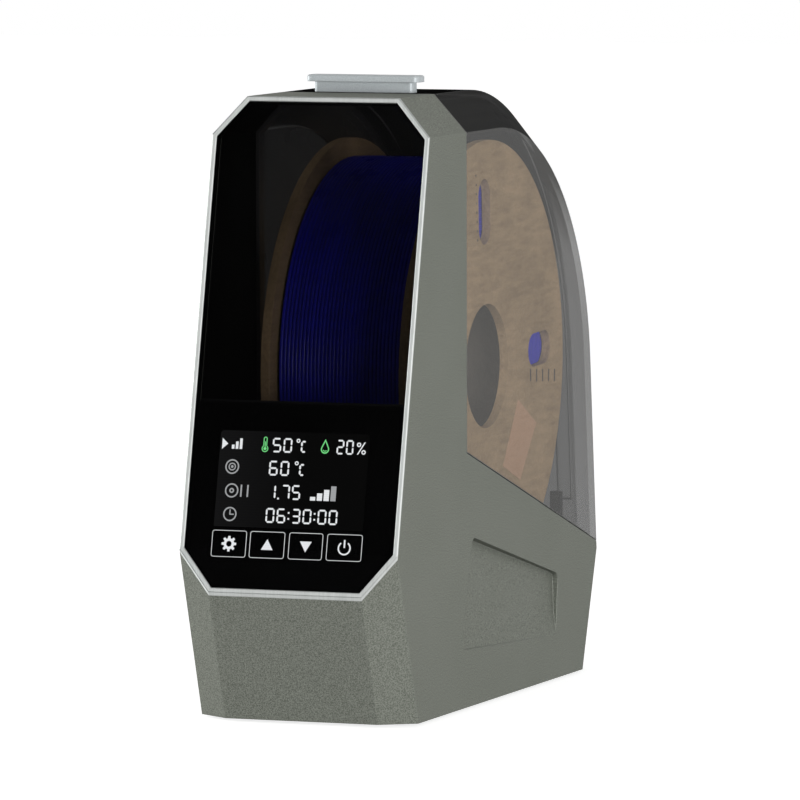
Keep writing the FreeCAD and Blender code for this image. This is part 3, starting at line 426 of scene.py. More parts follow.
finish["smoked_lid"] = smokedLid({
    # the crown and inside tones are painted shade; the side tone is a painted reflected haze
    "side": (0.135, 0.135, 0.132, 1), "crown": (0.006, 0.006, 0.006, 1), "inside": (0.012, 0.012, 0.012, 1),
    # edge: painted highlight colour along the hood's edges
    "edge": (0.42, 0.42, 0.41, 1), "edgeHighlightShare": 0.5, "edgeHighlightVeil": 0.2,
    "smudge": (0.2, 0.2, 0.195, 1), "smudgeShare": 0.08,
    # painted reflection streaks on the crown
    "paintedStreakReflection": (0.022, 0.022, 0.022, 1), "streakReflectionStretch": (420.0, 4.0, 4.0), "streakReflectionFrom": (0.5, 0.72),
    "riseFrom": (0.12, 0.5), "flatFrom": (0.88, 0.95), "crownFrom": (0.85, 0.6), "rearFrom": (0.5, 0.8),
    "withinFrom": (0.0, -0.02),
    "rough": 0.16, "specular": 0.0, "coat": (0.08, 1.3), "shade": 0.1,
    "far": 0.95, "top": 0.9, "middle": (0.0, 0.02, 0.14), "rearInner": 0.42, "rearOuter": 1.3,
    "rails": {"inner": 0.0274, "outer": 0.034, "foot": 0.0755, "wide": 0.00055, "faintest": 0.05,
              "flatFrom": 0.6, "share": 0.85},
    # painted shade tone of the rib lines
    "paintedRailShade": (0.012, 0.012, 0.012, 1),
    "gloss": ((0.0, 0.0), (0.8, 0.02), (0.97, 0.5), (1.0, 0.5)),
    "toneStops": ((0.0, 0.0), (0.55, 0.06), (0.8, 0.3), (0.97, 1.0)),
    "grazing": ((0.0, 0.0), (0.66, 0.45), (0.86, 1.0), (1.0, 1.0)),
    "veil": ((0.0, 0.64), (0.6, 0.64), (0.97, 0.5), (1.0, 0.5)),
    "fromBehind": ((0.0, 1.0), (0.85, 1.0), (0.97, 0.06), (1.0, 0.06))})


def tintedGlass(look):
    mat, tree, bsdf = newMaterial("tintedGlassFinish", IOR=1.5, Specular_IOR_Level=look["specular"])
    hand = place(tree, handling, {"Size": 18.0, "Dust": 0.05})
    plug(tree, bsdf["Base Color"], blendColour(tree, hand["Smudge"], look["tint"], look["smear"]))
    plug(tree, bsdf["Roughness"], spread(tree, hand["Smudge"], 0, 1, *look["rough"]))
    behind = put(tree, "NewGeometry").outputs["Backfacing"]
    kept = spread(tree, behind, 0, 1, look["veil"], look["fromBehind"])
    plug(tree, bsdf["Alpha"], paleForLight(tree, kept, look["shade"]))
    return mat


finish["tinted_glass"] = tintedGlass({
    "tint": (0.0006, 0.0006, 0.0006, 1), "smear": (0.0014, 0.0014, 0.0015, 1), "rough": (0.06, 0.11),
    "specular": 0.006, "veil": 0.86, "fromBehind": 0.05, "shade": 0.25})


def darkPrint(name, look):  # ink or display face: deep tone with a fine dot raster
    mat, tree, bsdf = newMaterial(name, Specular_IOR_Level=look["specular"])
    where = put(tree, "TexCoord").outputs["Object"]
    dots = cellDistance(tree, where, look["raster"], 0.0)
    hand = place(tree, handling, {"Size": 30.0, "Dust": 0.05})
    tone = blendColour(tree, spread(tree, dots, 0.2, 0.5), look["dark"], look["light"])
    plug(tree, bsdf["Base Color"], tone)
    plug(tree, bsdf["Roughness"], smudgedRough(tree, hand, look))
    return mat


finish["black_print"] = darkPrint("blackPrintFinish", {
    "dark": (0.0012, 0.0012, 0.0012, 1), "light": (0.002, 0.002, 0.002, 1), "rough": 0.35,
    "raster": 2500.0, "specular": 0.05})
finish["display"] = darkPrint("displayFinish", {
    "dark": (0.012, 0.012, 0.014, 1), "light": (0.022, 0.022, 0.026, 1), "rough": 0.25,
    "raster": 4000.0, "specular": 0.3})


def circuitBoard(look):  # solder mask over copper tracks
    mat, tree, bsdf = newMaterial("circuitBoardFinish", Specular_IOR_Level=0.4)
    where = put(tree, "TexCoord").outputs["Object"]
    lanes = put(tree, "TexBrick", {"Vector": where, "Scale": look["lanes"],
                                   "Mortar Size": look["gap"]}).outputs["Fac"]
    pads = spread(tree, cellDistance(tree, where, look["pads"]), *look["padEdge"])
    tone = blendColour(tree, times(tree, lanes, look["trackShare"]), look["mask"], look["track"])
    tone = blendColour(tree, pads, tone, look["pad"])
    plug(tree, bsdf["Base Color"], tone)
    plug(tree, bsdf["Roughness"], spread(tree, pads, 0, 1, *look["rough"]))
    plug(tree, bsdf["Metallic"], times(tree, pads, look["metal"]))
    return mat


finish["circuit_board"] = circuitBoard({
    "mask": (0.012, 0.10, 0.04, 1), "track": (0.03, 0.2, 0.09, 1), "pad": (0.72, 0.62, 0.38, 1),
    "lanes": 160.0, "gap": 0.03, "trackShare": 0.7, "pads": 260.0, "padEdge": (0.22, 0.17),
    "rough": (0.38, 0.28), "metal": 0.9})


def ribbonCable(look):  # parallel conductors under a pale film
    mat, tree, bsdf = newMaterial("ribbonFinish", Specular_IOR_Level=0.35, Roughness=0.42)
    where = put(tree, "TexCoord").outputs["Object"]
    wave = put(tree, "TexWave", {"Vector": where, "Scale": look["pitch"]}, bands_direction="X")
    wires = wave.outputs["Fac"]
    plug(tree, bsdf["Base Color"], blendColour(tree, wires, look["gap"], look["wire"]))
    bump = put(tree, "Bump", {"Strength": 0.6, "Distance": 0.0001, "Height": wires})
    plug(tree, bsdf["Normal"], bump.outputs[0])
    return mat


finish["ribbon"] = ribbonCable({"gap": (0.55, 0.55, 0.52, 1), "wire": (0.78, 0.78, 0.75, 1),
                                "pitch": 320.0})


def kraftBoard(name, look):
    mat, tree, bsdf = newMaterial(name, Specular_IOR_Level=0.2)
    paper = place(tree, fibre, {"Along": look["along"]})
    surface = place(tree, skin, {"Grain Scale": 800.0, "Grain Depth": 0.00003, "Edge Radius": 0.0005})
    tone = blendColour(tree, paper["Tone"], look["dark"], look["light"])
    tone = blendColour(tree, times(tree, paper["Fleck"], look["fleckShare"]), tone, look["fleck"])
    tone = blendColour(tree, times(tree, surface["Edge"], look["rimShare"]), tone, look["rim"])
    plug(tree, bsdf["Base Color"], tone)
    plug(tree, bsdf["Roughness"], spread(tree, paper["Tone"], 0, 1, *look["rough"]))
    bump = put(tree, "Bump", {"Strength": 0.7, "Distance": 0.00012, "Height": paper["Height"],
                              "Normal": surface["Normal"]})
    plug(tree, bsdf["Normal"], bump.outputs[0])
    return mat


kraft = {"dark": (0.35, 0.24, 0.13, 1), "light": (0.57, 0.395, 0.225, 1), "fleck": (0.18, 0.11, 0.06, 1),
         "fleckShare": 0.55, "rim": (0.62, 0.46, 0.30, 1), "rimShare": 0.4, "along": (900.0, 60.0, 420.0),
         "rough": (0.82, 0.72)}
finish["cardboard"] = kraftBoard("kraftFinish", kraft)


def filamentPlastic(look):
    mat, tree, bsdf = newMaterial("filamentFinish", IOR=1.46, Specular_IOR_Level=0.4)
    where = put(tree, "TexCoord").outputs["Object"]
    streak = noise(tree, stretched(tree, where, look["stretch"]), 1.0, 3.0)
    fromAxis = vectorCalc(tree, "SUBTRACT", where, tuple(spoolAxis))
    across = vectorCalc(tree, "MULTIPLY", fromAxis, (0, 1, 1))
    reach = put(tree, "VectorMath", {0: across}, operation="LENGTH").outputs["Value"]
    crest = spread(tree, reach, *(look["outer"] - below * mm for below in look["crest"]))
    tone = blendColour(tree, streak, look["mid"], look["bright"])
    slope = xyz(tree, put(tree, "TexCoord").outputs["Normal"])["X"]
    ends = spread(tree, sizeOf(tree, slope), *look["endFrom"])  # turns at the sides lie open, so they are kept out of the painted groove shade
    # painted shade: below each strand's crest, between strands and in the layers under them, the filament
    # takes the deep tone
    tone = blendColour(tree, larger(tree, crest, ends), look["deep"], tone)
    plug(tree, bsdf["Base Color"], tone)
    plug(tree, bsdf["Roughness"], spread(tree, streak, *look["streakFrom"], *look["rough"]))
    bump = put(tree, "Bump", {"Strength": 0.1, "Distance": 0.00002, "Height": streak})
    plug(tree, bsdf["Normal"], bump.outputs[0])
    return mat


spoolLow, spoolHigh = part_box("spool_flange_left")
spoolAxis = Vector((0, (spoolLow.y + spoolHigh.y) / 2, (spoolLow.z + spoolHigh.z) / 2))
windLow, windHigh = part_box("filament_winding")
finish["filament"] = filamentPlastic({
    # deep: painted shade tone between strands
    "deep": (0.001, 0.001, 0.06, 1), "mid": (0.010, 0.010, 0.66, 1), "bright": (0.022, 0.022, 0.88, 1),
    "outer": (windHigh.z - windLow.z) / 2, "crest": (0.9, 0.05), "endFrom": (0.9, 0.97),
    "stretch": (90.0, 45.0, 45.0), "streakFrom": (0.3, 0.7), "rough": (0.24, 0.36)})

drumPaintedShadeBoard = kraftBoard("drumPaintedShadeFinish", {  # painted shade: the tube's bore takes a darker copy of the board
    **kraft, "dark": (0.10, 0.085, 0.068, 1), "light": (0.15, 0.13, 0.105, 1), "rim": (0.3, 0.23, 0.16, 1)})
for part in frame["record"]["subparts"]:
    thing = nodes[part["node"]]
    thing.data.materials.clear()
    isDrum = part["node"] == "spool_drum"
    thing.data.materials.append(drumPaintedShadeBoard if isDrum else finish[part["material_slot"]])


# tools for meshes
def addPiece(name, mesh, material, body, smooth=False):
    thing = bpy.data.objects.new(name, mesh)
    scene.collection.objects.link(thing)
    mesh.materials.clear()
    mesh.materials.append(material)
    mesh.polygons.foreach_set("use_smooth", [smooth] * len(mesh.polygons))
    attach(thing, body)
    return thing


def meshOf(name, points, faces):
    mesh = bpy.data.meshes.new(name)
    mesh.from_pydata(points, [], faces)
    mesh.update()
    return mesh


def fixNormals(mesh):
    bm = bmesh.new()
    bm.from_mesh(mesh)
    bmesh.ops.recalc_face_normals(bm, faces=bm.faces)
    bm.to_mesh(mesh)
    bm.free()
    return mesh


def prismFaces(n):  # a plate whose two outlines have n points each
    faces = [tuple(range(n)), tuple(reversed(range(n, 2 * n)))]
    return faces + [(k, k + n, (k + 1) % n + n, (k + 1) % n) for k in range(n)]


def looseParts(node):  # (low, high) of each solid in a node that holds several
    bm = bmesh.new()
    bm.from_mesh(nodes[node].data)
    bmesh.ops.remove_doubles(bm, verts=bm.verts, dist=1e-6)
    left, found = set(bm.verts), []
    while left:
        group, edge = set(), [next(iter(left))]
        while edge:
            v = edge.pop()
            if v in group:
                continue
            group.add(v)
            edge += [e.other_vert(v) for e in v.link_edges]
        left -= group
        found.append((Vector([min(v.co[i] for v in group) for i in range(3)]),
                      Vector([max(v.co[i] for v in group) for i in range(3)])))
    bm.free()
    return sorted(found, key=lambda b: tuple(round(c, 5) for c in b[0]))


# the wound filament: outer layer as one strand, and the layers under it as ribs
coreLow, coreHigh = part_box("filament_core")
strand = {"radius": 0.875 * mm, "turns": 33, "around": 72, "sides": 8, "easeSteps": 18, "endDip": 2.2,
          "wander": ((0.00006, 3.1, 0.0), (0.00005, 0.37, 1.0))}
layers = {"ribs": 33, "around": 96, "groove": 0.55, "clearance": 1.2,
          "ribDips": ((0.0, 0.55), (0.25, 0.12), (0.5, 0.0), (0.75, 0.12)),
          "ringDips": ((0.0, 0.45), (0.25, 0.1), (0.5, 0.0), (0.75, 0.1))}


def strandMesh():
    radius, n = strand["radius"], strand["sides"]
    outer = (windHigh.z - windLow.z) / 2 - radius
    left, right = coreLow.x + radius, coreHigh.x - radius
    total = strand["turns"] * strand["around"]
    points, faces = [], []
    for i in range(total + 1):
        angle = 2 * math.pi * i / strand["around"]
        ease = min(1.0, i / strand["easeSteps"], (total - i) / strand["easeSteps"])
        reach = outer - (1 - ease) * strand["endDip"] * radius  # both ends dip under their neighbours
        reach += sum(much * math.sin(angle * often + start) for much, often, start in strand["wander"])
        outward = Vector((0, math.cos(angle), math.sin(angle)))
        centre = spoolAxis + outward * reach + Vector((left + (right - left) * i / total, 0, 0))
        for k in range(n):
            a = 2 * math.pi * k / n
            points.append(centre + radius * (math.cos(a) * outward + Vector((math.sin(a), 0, 0))))
    for i in range(total):
        for k in range(n):
            j = (k + 1) % n
            faces.append((i * n + k, i * n + j, (i + 1) * n + j, (i + 1) * n + k))
    faces += [tuple(range(n)), tuple(total * n + k for k in reversed(range(n)))]
    return fixNormals(meshOf("woundStrand", points, faces))


def ribbedCoreMesh():
    radius = min((coreHigh.z - coreLow.z) / 2,
                 (windHigh.z - windLow.z) / 2 - layers["clearance"] * strand["radius"])
    step, groove = (coreHigh.x - coreLow.x) / layers["ribs"], layers["groove"] * mm
    ribs = [(coreLow.x + (i + part) * step, radius - dip * mm)
            for i in range(layers["ribs"]) for part, dip in layers["ribDips"]]
    ribs.append((coreHigh.x, radius - groove))
    bore = innerRadius("filament_core")
    count = int((radius - bore) / (2 * strand["radius"]))
    deep = (radius - groove - bore) / count
    rings = [(bore + (i + part) * deep, dip)  # the layers show as rings at both sides
             for i in range(count) for part, dip in layers["ringDips"]]
    left = [(coreLow.x + dip * mm, r) for r, dip in rings]
    right = [(coreHigh.x - dip * mm, r) for r, dip in reversed(rings)]
    return fixNormals(latheMesh("woundCore", left + ribs + right, layers["around"]))


def innerRadius(node):
    return min(math.hypot(v.co.y - spoolAxis.y, v.co.z - spoolAxis.z) for v in nodes[node].data.vertices)


def latheMesh(name, profile, around):
    points, faces, n = [], [], len(profile)
    for i in range(around):
        a, j = 2 * math.pi * i / around, (i + 1) % around
        points += [(x, spoolAxis.y + r * math.cos(a), spoolAxis.z + r * math.sin(a)) for x, r in profile]
        for k in range(n):
            faces.append((i * n + k, i * n + (k + 1) % n, j * n + (k + 1) % n, j * n + k))
    return meshOf(name, points, faces)


wound = addPiece("wound_strand", strandMesh(), finish["filament"], "spool", True)
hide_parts("filament_winding")
under = addPiece("wound_layers", ribbedCoreMesh(), finish["filament"], "spool", True)
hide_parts("filament_core")
print("filament wound", len(wound.data.polygons), len(under.data.polygons))

# what the right flange carries: a bare paper patch, plain ticks and dots
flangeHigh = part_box("spool_flange_right")[1]
paperMarks = {"patch": ((40.3, -18.0), (64.3, -30.4), (43.0, -54.6), (20.3, -46.4)), "tickCount": 5,
              "tickFrom": (56.2, -11.2), "tickGap": (8.0, -0.6), "tickSize": (1.5, 5.6), "dotCount": 8,
              "dotFrom": (-14.6, 84.5), "dotGap": (0.3, -4.1), "dotSize": (1.3, 1.0), "gap": 0.005,
              "lift": 0.06, "patchLift": 0.1}
finish["paper"] = kraftBoard("paperFinish", {
    **kraft, "dark": (0.62, 0.37, 0.22, 1), "light": (0.72, 0.45, 0.28, 1), "rim": (0.76, 0.5, 0.33, 1)})


def inkFinish(look):
    mat, tree, bsdf = newMaterial("inkFinish", Specular_IOR_Level=look["specular"])
    where = put(tree, "TexCoord").outputs["Object"]
    worn = spread(tree, noise(tree, where, look["grain"], 3.0), *look["wornFrom"])
    plug(tree, bsdf["Base Color"], blendColour(tree, worn, look["dark"], look["light"]))
    plug(tree, bsdf["Roughness"], spread(tree, worn, 0, 1, *look["rough"]))
    return mat


finish["ink"] = inkFinish({
    "dark": (0.07, 0.055, 0.045, 1), "light": (0.14, 0.11, 0.085, 1), "grain": 1400.0,
    "wornFrom": (0.35, 0.65), "rough": (0.55, 0.7), "specular": 0.2})


def flangeShape(corners, lift):
    low, high = flangeHigh.x + paperMarks["gap"] * mm, flangeHigh.x + lift * mm
    points = [(x, spoolAxis.y + y * mm, spoolAxis.z + z * mm) for x in (low, high) for y, z in corners]
    return points, prismFaces(len(corners))


def joinShapes(shapes):
    points, faces = [], []
    for more, sides in shapes:
        start = len(points)
        points += more
        faces += [tuple(start + i for i in side) for side in sides]
    return points, faces


patch = meshOf("sparePatch", *flangeShape(paperMarks["patch"], paperMarks["patchLift"]))
addPiece("spool_patch", fixNormals(patch), finish["paper"], "spool")
ticks = []
for kind in ("tick", "dot"):
    for i in range(paperMarks[kind + "Count"]):
        y, z = (paperMarks[kind + "From"][k] + i * paperMarks[kind + "Gap"][k] for k in (0, 1))
        w, h = paperMarks[kind + "Size"]
        ticks.append(flangeShape([(y, z), (y + w, z), (y + w, z + h), (y, z + h)], paperMarks["lift"]))
tickMesh = fixNormals(meshOf("spoolTicks", *joinShapes(ticks)))
addPiece("spool_ticks", tickMesh, finish["ink"], "spool")
print("spool dressed")

# display: signs and numbers that glow on the front glass
lean = math.radians(12.7)
panel = {"origin": Vector((0, -0.141, 0.0577)), "up": Vector((0, math.sin(lean), math.cos(lean))),
         "out": Vector((0, -math.cos(lean), math.sin(lean))), "depth": -0.12, "thick": 0.05}


def onPanel(u, v, depth):
    return panel["origin"] + (panel["up"] * v + panel["out"] * depth) * mm + Vector((u * mm, 0, 0))


signLook = {"raster": 5200.0, "dotFrom": (0.3, 0.6), "dim": 0.86, "dark": (0.02, 0.02, 0.02, 1),
            "light": (0.03, 0.03, 0.03, 1), "strength": 1.0}
signTones = {"white": (0.80, 0.82, 0.84), "green": (0.16, 0.72, 0.22), "grey": (0.34, 0.35, 0.36)}


def glowFinish(name, tone):
    mat, tree, bsdf = newMaterial(name, Roughness=0.5, Specular_IOR_Level=0.05,
                                  Emission_Strength=signLook["strength"])
    where = put(tree, "TexCoord").outputs["Object"]
    raster = cellDistance(tree, where, signLook["raster"], 0.0)
    full, dim = tone + (1,), tuple(c * signLook["dim"] for c in tone) + (1,)
    dots = spread(tree, raster, *signLook["dotFrom"])
    plug(tree, bsdf["Emission Color"], blendColour(tree, dots, full, dim))
    plug(tree, bsdf["Base Color"], blendColour(tree, raster, signLook["dark"], signLook["light"]))
    return mat


glow = {colour: glowFinish(colour + "Glow", tone) for colour, tone in signTones.items()}
lit = {colour: [] for colour in signTones}


def shape(colour, *outlines):
    lit[colour] += [list(line) for line in outlines]


def bar(u0, v0, u1, v1):
    return [(u0, v0), (u1, v0), (u1, v1), (u0, v1)]


def ring(u, v, big, small, start=0.0, end=360.0, steps=24):
    out = []
    for i in range(steps):
        a, b = (math.radians(start + (end - start) * k / steps) for k in (i, i + 1))
        out.append([(u + r * math.cos(at), v + r * math.sin(at))
                    for r, at in ((big, a), (big, b), (small, b), (small, a))])
    return out


def disc(u, v, r, steps=20):
    return [(u + r * math.cos(2 * math.pi * i / steps), v + r * math.sin(2 * math.pi * i / steps))
            for i in range(steps)]


def band(outside, inside):  # what lies between two closed outlines
    n = len(outside)
    return [[outside[i], outside[(i + 1) % n], inside[(i + 1) % n], inside[i]] for i in range(n)]


def hollow(line, centre, share):
    return band(line, [tuple(c + (p - c) * share for p, c in zip(spot, centre)) for spot in line])


def roundedFrame(u0, v0, u1, v1, r, line, steps=6):  # closed outline with round corners
    def path(inset):
        spots = []
        corners = ((u1 - r, v1 - r, 0), (u0 + r, v1 - r, 90), (u0 + r, v0 + r, 180), (u1 - r, v0 + r, 270))
        for cu, cv, start in corners:
            for i in range(steps + 1):
                a = math.radians(start + 90 * i / steps)
                spots.append((cu + (r - inset) * math.cos(a), cv + (r - inset) * math.sin(a)))
        return spots
    return band(path(0), path(line))


segmentGap, colonAt = 0.16, (0.25, 0.65)
segments = {"0": "abcdef", "1": "bc", "2": "abged", "3": "abgcd", "4": "fgbc", "5": "afgcd", "6": "afgedc",
            "7": "abc", "8": "abcdefg", "9": "abcdfg", "C": "afed"}


def numeral(sign, u, v, wide, high, line):  # pointed segments with small gaps
    t, g, mid = line / 2, line * segmentGap, v + high / 2
    flat = {"a": v + high - t, "g": mid, "d": v + t}
    upright = {"f": (u + t, mid, v + high - t), "b": (u + wide - t, mid, v + high - t),
               "e": (u + t, v + t, mid), "c": (u + wide - t, v + t, mid)}
    out = []
    for s in segments[sign]:
        if s in flat:
            a, b, h = u + t + g, u + wide - t - g, flat[s]
            out.append([(a, h), (a + t, h - t), (b - t, h - t), (b, h), (b - t, h + t), (a + t, h + t)])
        else:
            x, a, b = upright[s][0], upright[s][1] + g, upright[s][2] - g
            out.append([(x, a), (x + t, a + t), (x + t, b - t), (x, b), (x - t, b - t), (x - t, a + t)])
    return out


def number(text, u, v, wide, high, line, gap):
    out = []
    for sign in text:
        if sign == ":":
            out += [bar(u, v + high * at, u + line, v + high * at + line) for at in colonAt]
            u += line + gap
        elif sign == ".":
            out.append(bar(u, v, u + line, v + line))
            u += line + gap
        else:
            out += numeral(sign, u, v, wide, high, line)
            u += wide + gap
    return out


# numbers: signs, left end, foot, and the width, height, line and gap of a sign
readings = (("50", -10.8, 61.2, (4.0, 6.3, 0.76, 1.0)), ("20", 18.6, 61.2, (3.4, 6.3, 0.72, 0.9)),
            ("60", -11.6, 51.2, (4.0, 6.4, 0.76, 1.2)), ("1.75", -11.6, 41.0, (3.9, 6.4, 0.76, 0.9)),
            ("06:30:00", -11.5, 30.8, (4.0, 6.4, 0.76, 1.05)), ("C", 2.2, 61.4, (2.7, 5.2, 0.8, 0.5)),
            ("C", 2.2, 51.4, (2.7, 5.2, 0.8, 0.5)))


def drawReadings():
    for signs, u, v, cut in readings:
        shape("white", *number(signs, u, v, *cut))
    for v in (66.5, 56.8):  # degree rings
        shape("white", *ring(0.9, v, 0.9, 0.4))
    # row 1: state, thermometer, drop, percent
    shape("white", [(-34, 62.0), (-31.3, 64.4), (-34, 66.8)])
    for u, top in ((-29.5, 64.0), (-27.7, 65.4), (-25.9, 66.8)):
        shape("white", bar(u, 62.2, u + 1.2, top))
    shape("green", *ring(-14.2, 62.7, 1.5, 1.12, 125, 415), bar(-15.06, 63.93, -14.68, 67.0),
          bar(-13.72, 63.93, -13.34, 67.0), *ring(-14.2, 67.0, 0.86, 0.48, 0, 180, 10),
          disc(-14.2, 62.7, 0.7), bar(-14.4, 63.4, -14.0, 65.8))
    belly = [math.radians(a) for a in range(150, 391, 20)]
    drop = [(13.3, 67.6)] + [(13.3 + 1.9 * math.cos(a), 63.2 + 1.9 * math.sin(a)) for a in belly]
    shape("green", *hollow(drop, (13.3, 63.5), 0.74), *ring(13.3, 63.2, 1.0, 0.66, 200, 330, 8))
    shape("white", *ring(28.7, 65.6, 1.0, 0.45), *ring(31.0, 62.4, 1.0, 0.45),
          [(28.0, 61.4), (28.6, 61.4), (31.7, 66.7), (31.1, 66.7)])
    # row 2: target
    shape("grey", *ring(-28.6, 54.5, 3.2, 2.6), *ring(-28.6, 54.5, 1.7, 1.2), disc(-28.6, 54.5, 0.6))
    # row 3: spool and level
    shape("grey", *ring(-28.0, 44.2, 3.1, 2.5), *ring(-28.0, 44.2, 1.1, 0.5),
          bar(-24.0, 41.6, -23.3, 46.8), bar(-21.0, 41.6, -20.3, 46.8))
    for i in range(4):
        shape("white" if i < 3 else "grey", bar(8.2 + i * 3.1, 41.0, 10.6 + i * 3.1, 42.6 + i * 1.6))
    # row 4: clock
    shape("grey", *ring(-28.0, 34.0, 3.1, 2.5), bar(-28.25, 33.8, -27.75, 36.0),
          bar(-28.25, 33.7, -26.2, 34.2))


keys = {"sides": ((-35.3, -19.4), (-17.8, -1.8), (0.1, 15.6), (17.5, 33.6)), "foot": 15.5, "head": 27.0,
        "round": 1.1, "line": 0.22, "middle": 21.2, "arrows": ((-9.8, 1), (7.85, -1)),
        "arrow": ((0, 2.5), (-2.7, -2.1), (2.7, -2.1))}
gear = {"at": -27.35, "teeth": 8, "half": 0.62, "root": 2.2, "tip": 3.35, "taper": 0.8, "rim": (2.4, 1.25)}


def drawKeys():
    for u0, u1 in keys["sides"]:
        shape("white", *roundedFrame(u0, keys["foot"], u1, keys["head"], keys["round"], keys["line"]))
    at = Vector((gear["at"], keys["middle"]))
    for i in range(gear["teeth"]):
        a = 2 * math.pi * i / gear["teeth"]
        side, out = Vector((-math.sin(a), math.cos(a))) * gear["half"], Vector((math.cos(a), math.sin(a)))
        base, tip, narrow = at + out * gear["root"], at + out * gear["tip"], side * gear["taper"]
        shape("white", [tuple(p) for p in (base - side, tip - narrow, tip + narrow, base + side)])
    shape("white", *ring(at.x, at.y, *gear["rim"]))
    for u, way in keys["arrows"]:
        shape("white", [(u + du, keys["middle"] + way * dv) for du, dv in keys["arrow"]])
    shape("white", *ring(25.55, 21.0, 3.0, 2.35, 125, 415), bar(25.2, 21.2, 25.9, 24.6))


def glowMesh(name, outlines, depth=panel["depth"], thick=panel["thick"]):
    shapes = []
    for line in outlines:
        points = [onPanel(u, v, depth - k * thick) for k in (0, 1) for u, v in line]
        shapes.append((points, prismFaces(len(line))))
    return fixNormals(meshOf(name, *joinShapes(shapes)))


drawReadings()
drawKeys()
for colour, outlines in lit.items():
    addPiece("display_" + colour, glowMesh(colour + "Signs", outlines), glow[colour], "base")
field = {"outline": ((-35.0, 28.6), (33.4, 28.6), (33.4, 69.2), (32.4, 70.2), (-34.0, 70.2), (-35.0, 69.2)),
         "bright": (0.0085, 0.0085, 0.009, 1), "dim": (0.0008, 0.0008, 0.0008, 1), "from": -0.034,
         "to": 0.004, "raster": 4000.0, "depth": -0.178, "thick": 0.015}


def fieldFinish():  # light of the display spreads from its left edge
    mat, tree, bsdf = newMaterial("fieldFinish", Specular_IOR_Level=0.02)
    where = put(tree, "TexCoord").outputs["Object"]
    fade = spread(tree, xyz(tree, where)["X"], field["from"], field["to"])
    dots = cellDistance(tree, where, field["raster"], 0.0)
    tone = blendColour(tree, fade, field["bright"], field["dim"])
    tone = blendColour(tree, spread(tree, dots, 0.2, 0.5, 0.0, 0.4), tone, field["dim"])
    plug(tree, bsdf["Base Color"], tone)
    plug(tree, bsdf["Roughness"], spread(tree, dots, 0.2, 0.5, 0.4, 0.55))
    return mat


fieldMesh = glowMesh("fieldSheet", [field["outline"]], field["depth"], field["thick"])
addPiece("display_field", fieldMesh, fieldFinish(), "base")
print("display lit")

# screws with a cross recess and a thread
screw = {"around": 28, "pitch": 0.9 * mm, "tip": 0.6 * mm, "tipShare": 0.5, "shank": 0.5, "root": 0.82,
         "headShare": 0.3, "headMost": 0.8,
         "head": ((0.96, 1.0), (1.0, 0.8), (1.0, 0.4), (0.86, 0.08), (0.7, 0.0))}
cross = {"reach": 0.55, "slot": 0.16, "depth": 0.75, "taper": 0.6, "over": 0.2 * mm}


def screwMesh(name, low, high, headUp):  # headUp: unit vector from the tip to the head
    size = high - low
    axisIndex = max(range(3), key=lambda i: abs(headUp[i]))
    length, radius = size[axisIndex], max(size[i] for i in range(3) if i != axisIndex) / 2
    shank, head = radius * screw["shank"], min(length * screw["headShare"], radius * screw["headMost"])
    rise = screw["tip"]
    profile = [(0, 0.0), (shank * screw["tipShare"], 0.0), (shank, rise)]
    while rise + screw["pitch"] < length - head:
        profile += [(shank, rise), (shank * screw["root"], rise + screw["pitch"] * 0.5)]
        rise += screw["pitch"]
    profile.append((shank, length - head))
    profile += [(radius * out, length - head * below) for out, below in screw["head"]]
    profile.append((0, length))
    bm = bmesh.new()
    rings = []
    for r, h in profile:
        if r == 0:
            rings.append([bm.verts.new((0, 0, h))])
        else:
            rings.append([bm.verts.new((r * math.cos(2 * math.pi * i / screw["around"]),
                                        r * math.sin(2 * math.pi * i / screw["around"]), h))
                          for i in range(screw["around"])])
    for a, b in zip(rings, rings[1:]):
        for i in range(screw["around"]):
            j = (i + 1) % screw["around"]
            corners = [a[i % len(a)], a[j % len(a)], b[j % len(b)], b[i % len(b)]]
            kept = [c for k, c in enumerate(corners) if c not in corners[:k]]
            if len(kept) > 2:
                bm.faces.new(kept)
    bmesh.ops.recalc_face_normals(bm, faces=bm.faces)
    body = bpy.data.meshes.new(name)
    bm.to_mesh(body)
    bm.free()
    return carveCross(body, radius, length, head)


def carveCross(body, radius, length, head):
    bm = bmesh.new()
    reach, half = radius * cross["reach"], radius * cross["slot"]
    outline = [(-half, -reach), (half, -reach), (half, -half), (reach, -half), (reach, half),
               (half, half), (half, reach), (-half, reach), (-half, half), (-reach, half),
               (-reach, -half), (-half, -half)]
    high, low, share = length + cross["over"], length - head * cross["depth"], cross["taper"]
    top = [bm.verts.new((x, y, high)) for x, y in outline]
    foot = [bm.verts.new((x * share, y * share, low)) for x, y in outline]
    bm.faces.new(top)
    bm.faces.new(list(reversed(foot)))
    for i in range(len(outline)):
        j = (i + 1) % len(outline)
        bm.faces.new((top[j], top[i], foot[i], foot[j]))
    bmesh.ops.recalc_face_normals(bm, faces=bm.faces)
    cutter = bpy.data.meshes.new("crossCutter")
    bm.to_mesh(cutter)
    bm.free()
    a, b = bpy.data.objects.new("screwBlank", body), bpy.data.objects.new("crossTool", cutter)
    for thing in (a, b):
        scene.collection.objects.link(thing)
    cut = a.modifiers.new("cross", "BOOLEAN")
    cut.operation, cut.object, cut.solver = "DIFFERENCE", b, "EXACT"
    made = bpy.data.meshes.new_from_object(a.evaluated_get(bpy.context.evaluated_depsgraph_get()))
    for thing in (a, b):
        bpy.data.objects.remove(thing)
    return made


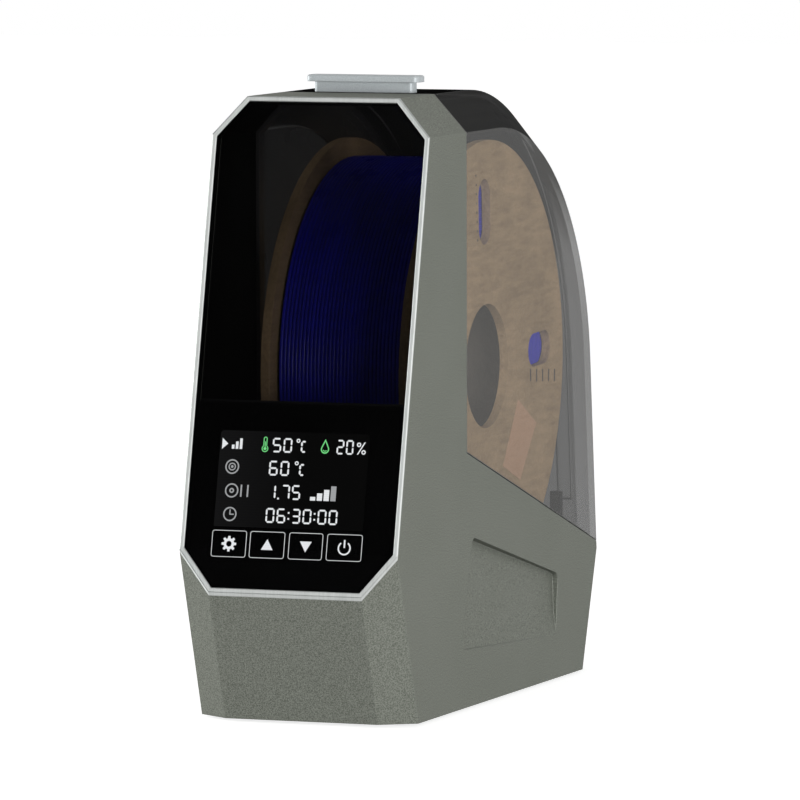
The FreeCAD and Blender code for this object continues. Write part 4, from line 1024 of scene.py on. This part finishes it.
def fitScrews(node, body, headUp):
    points, faces = [], []
    for low, high in looseParts(node):
        mesh = screwMesh(node + "One", low, high, headUp)
        centre = (low + high) / 2
        foot = centre - headUp * ((high - low).dot(Vector([abs(c) for c in headUp])) / 2)
        turnTo = Vector((0, 0, 1)).rotation_difference(headUp).to_matrix()
        start = len(points)
        points += [turnTo @ v.co + foot for v in mesh.vertices]
        faces += [tuple(start + i for i in p.vertices) for p in mesh.polygons]
        bpy.data.meshes.remove(mesh)
    made = addPiece(node + "_cross", meshOf(node + "Cross", points, faces), finish["steel"], body)
    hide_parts(node)


fitScrews("bottom_screws", "base", Vector((0, 0, -1)))
fitScrews("handle_screws", "lid", Vector((0, 0, -1)))
print("screws fitted")

# floor and light
stage = {"floor": 7.0, "glow": 0.8, "albedo": (0.6, 0.6, 0.6, 1), "world": 0.32, "drop": -0.0002}
floorMesh = meshOf("floorSheet", [(x * stage["floor"], y * stage["floor"], stage["drop"]) for x, y in
                                  ((-1, -1), (1, -1), (1, 1), (-1, 1))], [(0, 1, 2, 3)])
floor = bpy.data.objects.new("floor", floorMesh)
scene.collection.objects.link(floor)


def seenDirectly(tree):  # camera, mirror and see-through rays
    path = put(tree, "LightPath").outputs
    both = larger(tree, path["Is Camera Ray"], path["Is Glossy Ray"])
    return larger(tree, both, path["Is Transmission Ray"])


mat, tree, bsdf = newMaterial("floorFinish", Roughness=0.9, Specular_IOR_Level=0.1)
bsdf["Base Color"].default_value = stage["albedo"]
bsdf["Emission Color"].default_value = (1, 1, 1, 1)
plug(tree, bsdf["Emission Strength"], times(tree, seenDirectly(tree), stage["glow"]))
fromBelow = put(tree, "NewGeometry").outputs["Backfacing"]  # the underside shows through the floor
plug(tree, bsdf["Alpha"], calc(tree, "SUBTRACT", 1.0, fromBelow))
floorMesh.materials.append(mat)

world = bpy.data.worlds.new("studio")
scene.world = world
world.use_nodes = True
tree = world.node_tree
tree.nodes.clear()
sky = put(tree, "Background", {"Color": (1, 1, 1, 1)})
plug(tree, sky.inputs["Strength"], spread(tree, seenDirectly(tree), 0, 1, stage["world"], 1.0))
tree.links.new(sky.outputs[0], tree.nodes.new("ShaderNodeOutputWorld").inputs[0])

lamps = {
    "leftSoftbox": {"at": (-1.9, -0.32, 0.3), "to": (0, -0.05, 0.1), "size": (1.0, 0.6), "power": 34},
    "rightFill": {"at": (2.0, -1.65, 0.3), "to": (0, 0, 0.12), "size": (1.2, 0.55), "power": 46},
}
for name, lamp in lamps.items():
    data = bpy.data.lights.new(name, "AREA")
    data.shape, data.energy = "RECTANGLE", lamp["power"]
    data.size, data.size_y = lamp["size"]
    thing = bpy.data.objects.new(name, data)
    thing.location = lamp["at"]
    thing.rotation_euler = (Vector(lamp["to"]) - Vector(lamp["at"])).to_track_quat("-Z", "Y").to_euler()
    scene.collection.objects.link(thing)
print("stage lit")

bpy.context.view_layer.update()
